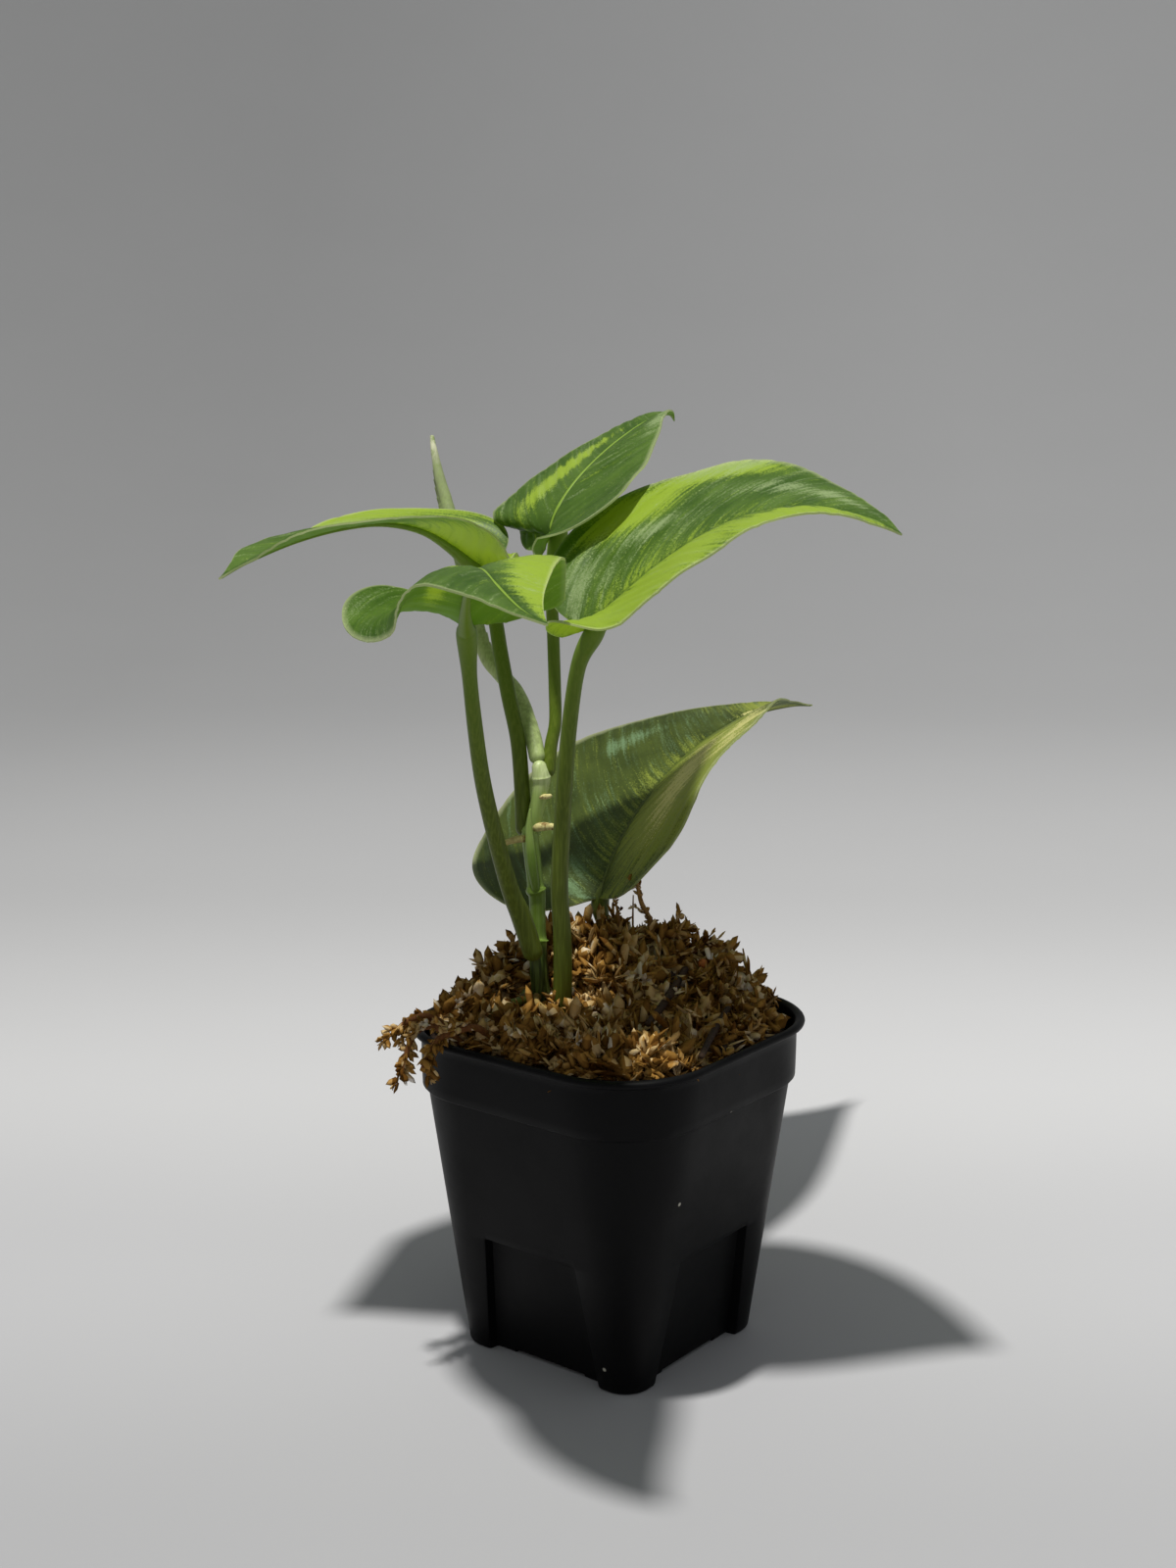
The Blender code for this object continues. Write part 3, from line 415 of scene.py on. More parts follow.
bm = shaped_grid(len(bed_rings) - 1, len(bed_rings[0]) - 1, bed_point)
bmesh.ops.holes_fill(bm, edges=[edge for edge in bm.edges if edge.is_boundary], sides=0)
bmesh.ops.recalc_face_normals(bm, faces=bm.faces)
bed = add_piece("moss_bed", bm, [wet_moss])
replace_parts(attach(bed, "root"), "moss")


def sprig_mesh(draw):
    """One branch of moss, 10 mm long, along X: a bent strand set with pointed scales."""
    bm = bmesh.new()
    bmesh.ops.create_cone(bm, cap_ends=True, segments=4, radius1=0.6 * MM, radius2=0.15 * MM, depth=10 * MM,
                          matrix=Matrix.Translation((5 * MM, 0, 0)) @ Matrix.Rotation(math.pi / 2, 4, "Y"))
    for count in range(SCALES_EACH):
        length = draw.uniform(3.0, 5.2) * MM
        width = draw.uniform(0.9, 1.5) * MM
        scale = bmesh.ops.create_uvsphere(bm, u_segments=4, v_segments=3, radius=1.0)["verts"]
        for vertex in scale:
            tip = vertex.co.z
            thin = 0.3 if abs(vertex.co.y) > 0.5 else 1.0
            vertex.co = (vertex.co.x * width, vertex.co.y * width * thin, length * (0.36 + 0.64 * tip if tip > 0 else 0.36 + 0.36 * tip))
            vertex.co.y += 0.22 * length * max(tip, 0)
        lean = Matrix.Rotation(math.radians(draw.uniform(18, 62)), 4, "Y")
        around = Matrix.Rotation(count * 2.4 + draw.uniform(-0.6, 0.6), 4, "X")
        foot = Matrix.Translation(((0.6 + 8.6 * count / SCALES_EACH) * MM, 0, 0))
        bmesh.ops.transform(bm, verts=scale, matrix=foot @ around @ lean)
    bend = draw.uniform(-0.9, 0.9)
    droop = draw.uniform(0.2, 1.0)
    for vertex in bm.verts:
        along = vertex.co.x / (10 * MM)
        vertex.co.y += bend * along ** 2 * 3 * MM
        vertex.co.z -= droop * along ** 2 * 3 * MM
    mesh = bpy.data.meshes.new("moss_sprig")
    bm.to_mesh(mesh)
    bm.free()
    return mesh


def inside_rim(place, room):
    """True where a point of the pot's frame is inside the rim, by at least room."""
    flat = BED_HALF - BED_CORNER
    return math.hypot(max(abs(place.x) - flat, 0), max(abs(place.y) - flat, 0)) < BED_CORNER + 1 - room


STEM_PLACES = [TURN.to_3x3() @ Vector(place) for place in ((-14.7, 4, 0), (-11.3, 0.8, 0), (1.6, 36, 0), (-19, -2, 0))]
BARE_PLACE, BARE_REACH = TURN.to_3x3() @ Vector((40, 0, 0)), 7.5       # the moss has sunk away in one corner
TWIG_LINES = [(TURN.to_3x3() @ Vector(start), TURN.to_3x3() @ Vector(end))
              for start, end in (((17.2, 11, 0), (7, -22, 0)), ((26.2, -3.5, 0), (18, -36, 0)))]


def twig_distance(place):
    """How far a point of the pot's frame is from the nearest twig's line."""
    return min((place - intersect_point_line(place, start, end)[0]).length
               + 40 * max(0.0, abs(intersect_point_line(place, start, end)[1] - 0.5) - 0.55) for start, end in TWIG_LINES)


draw = random.Random(7)
patterns = [sprig_mesh(draw) for _ in range(SPRIG_PATTERNS)]
for layer in ("under", "over"):
    bm = bmesh.new()
    for count in range(SPRIGS_EACH):
        place = Vector((draw.uniform(-BED_HALF, BED_HALF), draw.uniform(-BED_HALF, BED_HALF), 0))
        if not inside_rim(place, 0.6):
            continue
        if (place - BARE_PLACE).length < BARE_REACH:
            continue
        heading = draw.uniform(0, math.tau)
        size = draw.choice((0.55, 0.75, 0.9, 1.05, 1.2))
        lift = draw.gauss(2, 12) if layer == "under" else draw.gauss(10, 16)
        reach = Vector((math.cos(heading), math.sin(heading), 0)) * 10 * size
        if not inside_rim(place + reach, 1.2):
            heading = math.atan2(-place.y, -place.x) + draw.uniform(-1.2, 1.2)
            reach = Vector((math.cos(heading), math.sin(heading), 0)) * 10 * size
        if min(math.hypot(place.x - stem.x, place.y - stem.y) for stem in STEM_PLACES) < 4.2:
            continue
        fall = math.degrees(math.atan2(moss_level(place + reach) - moss_level(place), 10 * size))
        height = moss_level(place) + (-0.8 if layer == "under" else 0.3)
        beside = max(0.0, 1 - min(twig_distance(place), twig_distance(place + reach / 2), twig_distance(place + reach)) / 6.5)
        height, lift = height - 2.6 * beside, lift * (1 - beside)
        branch = patterns[count % SPRIG_PATTERNS].copy()
        branch.transform(Matrix.Translation(Vector((place.x, place.y, height)) * MM) @ Matrix.Rotation(heading, 4, "Z")
                         @ Matrix.Rotation(-math.radians(fall + lift), 4, "Y")
                         @ Matrix.Rotation(draw.uniform(0, math.tau), 4, "X") @ Matrix.Scale(size, 4))
        bm.from_mesh(branch)
        bpy.data.meshes.remove(branch)
    thatch = add_piece("moss_thatch_" + layer, bm, [dry_moss])
    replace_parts(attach(thatch, "root"), "moss")

# The stem is the living vine: green, waxed and a little ribbed, with a raised ring at each node
# where a leaf grew, a long pointed bud along its side, short stubs of roots and one thin root below.
VINE_ROUTE = [
    (-12.5, 6.0, 48, 2.6), (-13.6, 5.0, 60, 3.8), (-14.7, 4.0, 72.7, 4.3), (-15.7, 4.0, 81.9, 4.2),
    (-16.2, 4.3, 90.6, 4.1), (-16.3, 4.5, 92.2, 4.8), (-16.2, 4.7, 94.0, 3.8), (-16.2, 5.0, 101.8, 3.8),
    (-16.5, 5.0, 103.8, 4.4), (-16.7, 5.2, 105.8, 3.7), (-17.6, 5.6, 114.8, 3.8), (-17.6, 6.0, 117.0, 4.5),
    (-17.0, 6.0, 119.0, 3.7), (-15.3, 6.0, 126.8, 3.5), (-15.2, 6.2, 129.2, 4.1), (-15.6, 6.4, 131.4, 3.4),
]
NODE_HEIGHTS = (92.2, 103.8, 117.0, 129.2)
BUD_ROUTE = [(-16.6, 3.4, 104.5, 1.8), (-17.4, 2.9, 110.7, 2.4), (-17.9, 3.0, 117.4, 1.7), (-17.6, 3.0, 122.6, 0.5)]
STUB_ROUTES = [
    [(-17.4, 5.0, 118.0, 2.0), (-14.6, 4.2, 118.5, 1.8), (-12.8, 3.6, 118.6, 1.5)],
    [(-15.8, 5.0, 125.0, 1.3), (-14.0, 4.2, 125.3, 1.2), (-13.2, 3.9, 125.5, 1.0)],
    [(-17.8, 5.0, 115.6, 1.8), (-20.4, 3.4, 115.8, 1.6), (-23.2, 2.4, 115.2, 1.3)],
]
THIN_ROOT_ROUTE = [(-16.2, 2.8, 79.8, 2.2), (-16.4, -0.8, 79.3, 1.6), (-14.2, -4.8, 78.8, 1.4), (-11.4, -8.2, 78.2, 0.9)]
CAP_ANGLES = (0, 25, 50, 72)


def catmull_rom(values, t):
    """A smooth curve through the values, read at the place t along their list."""
    last = len(values) - 1
    t = min(max(t, 0.0), last)
    i = min(int(t), last - 1)
    f = t - i
    before, start, end, after = values[max(i - 1, 0)], values[i], values[i + 1], values[min(i + 2, last)]
    bend = (2 * before - 5 * start + 4 * end - after) * f ** 2
    sway = (3 * start - before - 3 * end + after) * f ** 3
    return 0.5 * (2 * start + (end - before) * f + bend + sway)


def sweep(route, stations, sides, relief=None, bm=None):
    """A stalk along a route of (x, y, z, diameter), with round ends; relief(place, turn) is added to its radius."""
    rows = []
    for k in range(stations + 1):
        t = k / stations * (len(route) - 1)
        rows.append([catmull_rom([Vector(stop[:3]) for stop in route], t), catmull_rom([stop[3] / 2 for stop in route], t)])
    first, last = rows[0][0] - rows[1][0], rows[-1][0] - rows[-2][0]
    first, last = first.normalized(), last.normalized()
    caps = [(math.sin(math.radians(a)), math.cos(math.radians(a))) for a in CAP_ANGLES]
    low = [[rows[0][0] + first * rows[0][1] * c, rows[0][1] * s] for s, c in caps]
    high = [[rows[-1][0] + last * rows[-1][1] * c, rows[-1][1] * s] for s, c in reversed(caps)]
    rows = low + rows + high
    side = Vector((1, 0, 0)) if abs(first.x) < 0.8 else Vector((0, 1, 0))
    frames = []
    for k, (centre, radius) in enumerate(rows):
        along = (rows[min(k + 1, len(rows) - 1)][0] - rows[max(k - 1, 0)][0]).normalized()
        side = (side - along * side.dot(along)).normalized()
        frames.append((centre, radius, side, along.cross(side)))

    def place(u, v):
        centre, radius, side, other = frames[round(u * (len(rows) - 1))]
        turn = v * math.tau
        if relief and radius > 0:
            radius += relief(centre, turn) * min(1.0, radius)
        return TURN @ ((centre + (side * math.cos(turn) + other * math.sin(turn)) * radius) * MM)

    bm = shaped_grid(len(rows) - 1, sides, place, bm)
    bmesh.ops.recalc_face_normals(bm, faces=bm.faces)
    return bm


def plant_skin(name, heights, streak, roughness, through, blotch=None):
    """Smooth living skin whose colour changes with height: (height in mm, hex code), with streaks along it."""
    skin, output = new_material(name)
    coords = add_node(skin, "ShaderNodeTexCoord").outputs["Object"]
    height = add_node(skin, "ShaderNodeSeparateXYZ", {"Vector": coords}).outputs["Z"]
    span = heights[-1][0] - heights[0][0]
    wander = add_node(skin, "ShaderNodeTexNoise", {"Vector": coords, "Scale": 1 / (6 * MM), "Detail": 3.0}).outputs["Fac"]
    place = add_node(skin, "ShaderNodeMapRange", {"Value": height, "From Min": heights[0][0] * MM,
                                                  "From Max": heights[-1][0] * MM}).outputs["Result"]
    place = add_node(skin, "ShaderNodeMath", {0: wander, 1: 3.0 / span, 2: place}, operation="MULTIPLY_ADD").outputs["Value"]
    ramp = add_node(skin, "ShaderNodeValToRGB", {"Fac": place})
    while len(ramp.color_ramp.elements) < len(heights):
        ramp.color_ramp.elements.new(1.0)
    for (z, code), stop in zip(heights, ramp.color_ramp.elements):
        stop.position = (z - heights[0][0]) / span
        stop.color = srgb(code)
    grain = add_node(skin, "ShaderNodeMapping", {"Vector": coords, "Scale": (1 / (0.5 * MM), 1 / (0.5 * MM), 1 / (9 * MM))})
    fibres = add_node(skin, "ShaderNodeTexNoise", {"Vector": grain.outputs["Vector"], "Scale": 1.0, "Detail": 4.0}).outputs["Fac"]
    mask = add_node(skin, "ShaderNodeMapRange", {"Value": fibres, "From Min": 0.42, "From Max": 0.7, "To Max": 0.45}).outputs["Result"]
    tint = add_node(skin, "ShaderNodeMix", {"Factor": mask, "A": ramp.outputs["Color"], "B": srgb(streak)},
                    data_type="RGBA").outputs["Result"]
    if blotch:
        spots = add_node(skin, "ShaderNodeTexNoise", {"Vector": coords, "Scale": 1 / (2.2 * MM), "Detail": 5.0,
                                                     "Roughness": 0.7}).outputs["Fac"]
        spots = add_node(skin, "ShaderNodeMapRange", {"Value": spots, "From Min": 0.5, "From Max": 0.62}).outputs["Result"]
        tint = add_node(skin, "ShaderNodeMix", {"Factor": spots, "A": tint, "B": srgb(blotch)}, data_type="RGBA").outputs["Result"]
    bump = add_node(skin, "ShaderNodeBump", {"Height": fibres, "Strength": 0.3, "Distance": 0.12 * MM}).outputs["Normal"]
    shader = add_node(skin, "ShaderNodeBsdfPrincipled", {"Base Color": tint, "Roughness": roughness, "Normal": bump,
                                                        "IOR": 1.42, "Specular IOR Level": 0.28})
    glow = add_node(skin, "ShaderNodeBsdfTranslucent", {"Color": tint, "Normal": bump})
    mixed = add_node(skin, "ShaderNodeMixShader", {0: through, 1: shader.outputs["BSDF"], 2: glow.outputs["BSDF"]})
    skin.node_tree.links.new(mixed.outputs["Shader"], output.inputs["Surface"])
    return skin


# waxed stem skin: dark and brownish in the moss, deep green between, light green at the top node, where the cream is
# partly a painted highlight
stem_skin = plant_skin("waxed_stem_skin", [(76, "2e2c10"), (88, "36421a"), (92.6, "3f5220"), (93.4, "6f8a34"), (103, "6c8632"),
                                           (114, "6d8a36"), (118, "9db860"), (127, "a8c06c"), (131, "cfdca0")],
                       "87a04c", 0.36, 0.12)
# corky root skin: straw yellow, matt, with brown scabs
cork_skin = plant_skin("corky_root_skin", [(76, "8a7440"), (112, "b39a5e"), (120, "d8cf8e")], "8f6f3a", 0.7, 0.05, "7a5a2c")


def stem_relief(centre, turn):
    ring = sum(math.exp(-((centre.z - z - 0.25 * math.sin(turn)) / 0.28) ** 2) for z in NODE_HEIGHTS)
    return 0.16 * ring + 0.03 * math.sin(7 * turn + centre.z * 0.1) + 0.1 * noise.noise(centre / 3)


bm = sweep(VINE_ROUTE, 190, 28, stem_relief)
sweep(BUD_ROUTE, 40, 16, lambda centre, turn: 0.12 * math.cos(turn) - 0.1 * math.exp(-((turn - 2.2) / 0.25) ** 2), bm)
vine = add_piece("vine_stem", bm, [stem_skin])
bm = bmesh.new()
for route in STUB_ROUTES:
    sweep(route, 14, 14, lambda centre, turn: 0.16 * noise.noise(centre * 1.6), bm)
sweep(THIN_ROOT_ROUTE, 40, 12, lambda centre, turn: 0.1 * noise.noise(centre), bm)
stubs = add_piece("root_stubs", bm, [cork_skin])
for piece in (vine, stubs):
    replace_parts(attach(piece, "root"), "vine")

# Each leaf grew as one: a round green stalk, sheathed where it leaves the stem, that runs on under the
# blade as its rib. The heart-shaped blade folds up along the midrib, droops and curls at its margins.
# Midrib: the five points that bend it. Widths, fold and curl: left and right half, as seen from the stalk
# looking to the tip, at the four stations. Marks: a kind, share along, reach, sizes; the gold, silver and cream
# marks are mostly the leaf's variegation, and some are painted highlights and sheen.
STATIONS = (-0.15, 0.15, 0.5, 0.9)
VEIN_SLANT = 0.22
BLADE_THICKNESS = 0.42
BLADE_ROWS, BLADE_COLUMNS = 110, 44
VEINS_PER_LEAF = 13
MOST_MARKED = dict(gold=0.85, silver=0.5, cream=0.62)
RIB = ((0.0, 4.4), (0.05, 3.2), (0.14, 2.2), (0.28, 1.6), (0.45, 1.3), (0.6, 1.05), (0.75, 0.85), (0.9, 0.6), (0.99, 0.4))
LEAVES = {
    "leaf_right": dict(
        stalk=[(-12.6, 2.4, 73.0, 4.0), (-10.8, 0.2, 78.0, 4.3), (-10.5, -1.0, 93.6, 4.1), (-11.1, -2.0, 105.6, 3.9),
               (-10.5, -3.0, 118.2, 3.8), (-9.8, -5.0, 129.4, 3.6), (-8.6, -7.0, 143.4, 3.4),
               (-6.6, -10.0, 156.6, 3.4), (-5.0, -12.0, 164.6, 3.8)],
        midrib=[(-5, -12, 165), (14.5, -16.5, 185), (27, -27, 193.5), (43, -29, 196), (57.5, -38.5, 187)],
        widths=(35.5, 29.5), lobe=0.08, widest=0.31, taper=1.28,
        fold=((52, 38, 21, 7), (37, -14, -7, 0)), curl=((27, 0, 1, -12), (12, 5, -17, -1)), wave=1.0,
        # the silver marks lie on the far half: partly the leaf's silver, partly painted sheen
        marks=[("silver", 0.0, 0.4, 0.14, 0.4), ("silver", 0.44, 0.95, 0.2, 0.14), ("silver", 0.26, 0.45, 0.12, 0.12),
               ("silver", 0.7, 0.6, 0.3, 0.2), ("gold", 0.2, 0.75, 0.14, 0.22), ("gold", 0.4, 0.9, 0.2, 0.12),
               ("gold", 0.25, -0.6, 0.5, 0.7), ("gold", 0.75, -0.7, 0.25, 0.5)]),
    "leaf_front": dict(
        stalk=[(-17.2, -0.2, 91.0, 4.6), (-19.6, -1.5, 99.3, 4.6), (-21.9, -4.0, 106.3, 4.0), (-24.6, -9.0, 118.8, 3.7),
               (-26.9, -14.0, 132.0, 3.5), (-28.1, -19.0, 144.5, 3.3), (-28.9, -23.0, 156.6, 3.2),
               (-29.0, -27.0, 167.0, 3.4)],
        midrib=[(-29, -27, 167.5), (-29.5, -51, 179.5), (-21.5, -66, 191.5), (-24.5, -85.5, 182), (-10.5, -99.5, 177.5)],
        widths=(20.5, 24.5), lobe=0.04, widest=0.12, taper=1.0,
        fold=((15, 26, 16, 12), (60, -2, 10, 9)), curl=((-22, -38, -23, -33), (15, -10, -103, 6)), wave=0.5,
        marks=[("gold", 0.75, 0.8, 0.35, 0.5), ("gold", 0.45, 0.5, 0.12, 0.14), ("gold", 0.4, -0.3, 0.2, 0.12),
               ("silver", 0.35, 0.4, 0.2, 0.3)]),
    "leaf_left": dict(
        stalk=[(-19.2, 6.6, 117.6, 3.6), (-19.5, 7.2, 126.2, 3.5), (-20.4, 9.0, 137.0, 3.4), (-22.5, 12.0, 146.6, 3.4),
               (-24.4, 16.0, 155.8, 3.4), (-26.1, 21.0, 163.9, 3.4), (-28.1, 26.0, 172.6, 3.6)],
        midrib=[(-28.5, 26.5, 173.5), (-44.5, 18, 187.5), (-43, -2.5, 188.5), (-64.5, -7.5, 187.5), (-80.5, -20.5, 176.5)],
        widths=(26.0, 27.5), lobe=0.08, widest=0.5, taper=1.5,
        fold=((47, -1, 5, 16), (105, 17, -8, 9)), curl=((-3, -14, 0, 6), (-23, 2, -6, -25)), wave=0.6,
        # the silver mark on the far half is painted sheen
        marks=[("gold", 0.12, 0.6, 0.4, 0.8), ("gold", 0.3, -0.9, 0.3, 0.4), ("silver", 0.5, -0.6, 0.3, 0.3)]),
    "leaf_back": dict(
        stalk=[(-13.6, 7.2, 130.6, 3.0), (-13.0, 9.0, 136.1, 2.9), (-12.1, 10.4, 141.0, 2.8), (-12.2, 12.5, 148.8, 2.8),
               (-12.6, 15.0, 161.9, 2.8), (-13.0, 17.5, 171.6, 2.8), (-13.5, 20.0, 181.0, 3.0)],
        midrib=[(-13.5, 20.5, 181.5), (-12, 21, 194.5), (4, 41.5, 203.5), (15, 51, 211.5), (15.5, 58, 205)],
        widths=(21.5, 22.5), lobe=0.1, widest=0.14, taper=1.67,
        fold=((14, -6, -14, 5), (40, 2, 14, 18)), curl=((7, -5, 5, -16), (2, 21, -6, -17)), wave=0.5,
        marks=[("silver", 0.7, -0.85, 0.2, 0.25), ("gold", 0.35, 0.5, 0.3, 0.2)]),
    "leaf_low": dict(
        stalk=[(-5.0, 26.0, 57.0, 3.0), (0.6, 33.5, 66.0, 3.6), (1.8, 36.4, 73.1, 3.6), (0.4, 36.0, 79.0, 3.4),
               (-1.4, 34.5, 87.2, 3.2), (-2.6, 33.2, 93.8, 3.6)],
        midrib=[(-2.5, 33.5, 94.5), (3.5, 62.5, 111), (20, 77.5, 124.5), (35.5, 99, 131), (56, 127.5, 124.5)],
        widths=(41.0, 33.5), lobe=0.08, widest=0.24, taper=1.72,
        fold=((5, 0, 0, 4), (47, 38, 27, 26)), curl=((-9, -14, 1, -6), (-14, 4, 2, -1)), wave=0.9,
        # the cream and gold marks near the tip are painted light where the lamp reaches the blade, and the silver mark
        # by the stalk is a painted highlight
        marks=[("cream", 0.3, -0.5, 0.3, 0.3), ("cream", 0.5, -0.8, 0.25, 0.25), ("cream", 0.78, 0.1, 0.12, 0.1),
               ("gold", 0.3, -0.6, 0.4, 0.7), ("gold", 0.88, 0.3, 0.16, 0.8), ("silver", 0.5, 0.7, 0.1, 0.12),
               ("silver", 0.02, 0.2, 0.1, 0.16)]),
}


def bezier(controls, t):
    points = list(controls)
    while len(points) > 1:
        points = [start.lerp(end, t) for start, end in zip(points, points[1:])]
    return points[0]


class Midrib:
    """A leaf's midrib, read by the share of its length from the stalk."""

    def __init__(self, controls):
        self.controls = [Vector(control) for control in controls]
        drawn = [bezier(self.controls, k / 60) for k in range(61)]
        self.reached = [0.0]
        for start, end in zip(drawn, drawn[1:]):
            self.reached.append(self.reached[-1] + (end - start).length)
        self.length = self.reached[-1]
        self.known = {}

    def parameter(self, share):
        goal = share * self.length
        for k, (low, high) in enumerate(zip(self.reached, self.reached[1:])):
            if goal <= high:
                return (k + (goal - low) / (high - low)) / 60
        return 1.0

    def frame(self, share):
        """Place, upward and leftward directions; behind the stalk the line runs straight back."""
        key = round(share, 5)
        if key not in self.known:
            t = self.parameter(min(max(share, 0.0), 1.0))
            along = (bezier(self.controls, min(t + 0.001, 1.0)) - bezier(self.controls, max(t - 0.001, 0.0))).normalized()
            place = bezier(self.controls, t) + along * min(share, 0.0) * self.length
            up = (Vector((0, 0, 1)) - along * along.z).normalized()
            self.known[key] = (place, up, up.cross(along))
        return self.known[key]


def at_station(values, share):
    """A value given at the four stations, read at a share of the midrib."""
    for k, (low, high) in enumerate(zip(STATIONS, STATIONS[1:])):
        if share < high:
            return catmull_rom(values, k + max(share - low, 0.0) / (high - low))
    return float(values[-1])


def heart_outline(u, leaf):
    """Along and across shares of a heart's margin, from the stalk round the lobe to the tip."""
    widest, taper = leaf["widest"], leaf["taper"]
    if u < 0.5:
        turn = u * math.pi
        back = widest + leaf["lobe"] * math.sin(min(3 * turn, math.pi / 2))
        return widest - back * math.cos(turn), math.sin(turn)
    t = 2 * u - 1
    return widest + (1 - widest) * t, (1 - t) ** taper * (1 + taper * t)


def on_blade(u, v, leaf):
    """Half (0 left, 1 right), share along, share across and share out from the midrib of a grid point."""
    half = 0 if v >= 0.5 else 1
    out = abs(2 * v - 1) ** 1.15
    x, y = heart_outline(u, leaf)
    foot = max(x - VEIN_SLANT * y, 0.0)
    return half, foot + (x - foot) * out ** 1.3, y * out, out


def blade_point(u, v, leaf, midrib):
    half, share, across, out = on_blade(u, v, leaf)
    width = leaf["widths"][half]
    place, up, left = midrib.frame(share)
    start = math.radians(at_station(leaf["fold"][half], share))
    bend = math.radians(at_station(leaf["curl"][half], share)) / width
    bend = bend if abs(bend) > 1e-5 else 1e-5
    reach = across * width
    level = (math.sin(start + bend * reach) - math.sin(start)) / bend
    rise = (math.cos(start) - math.cos(start + bend * reach)) / bend
    return TURN @ ((place + left * (level if half == 0 else -level) + up * rise) * MM)


def vein_place(share, across):
    """Where along the midrib the vein through a point starts: veins leave it slanting and sweep to the tip."""
    return share - 0.42 * across ** 1.25


def blade_relief(u, v, leaf, seed):
    """Height over the plain blade: sunk veins, swells between them, a creased midrib and a waved margin."""
    half, share, across, out = on_blade(u, v, leaf)
    reach = across * leaf["widths"][half]
    edge = min(1.0, across * 5) * min(1.0, (1 - share) * 12)
    phase = vein_place(share, across) * VEINS_PER_LEAF + 0.37 * half
    off_vein = abs(phase - round(phase))
    groove = -0.17 * math.exp(-(off_vein / 0.07) ** 2)
    swell = 0.3 * math.sin(math.pi * off_vein) ** 2 * math.sin(math.pi * min(out, 1.0)) ** 0.7
    crease = -0.3 * math.exp(-(reach / 1.0) ** 2)
    wave = 0.45 * leaf["wave"] * math.sin(2 * math.pi * (3.3 * u + 0.31 * seed + 0.5 * half)) * out ** 3
    wobble = 0.5 * noise.noise(Vector((share * 7, across * (3 if half else -3), seed))) * out
    return (groove + swell + wave + wobble) * edge + crease * min(1.0, (1 - share) * 8)


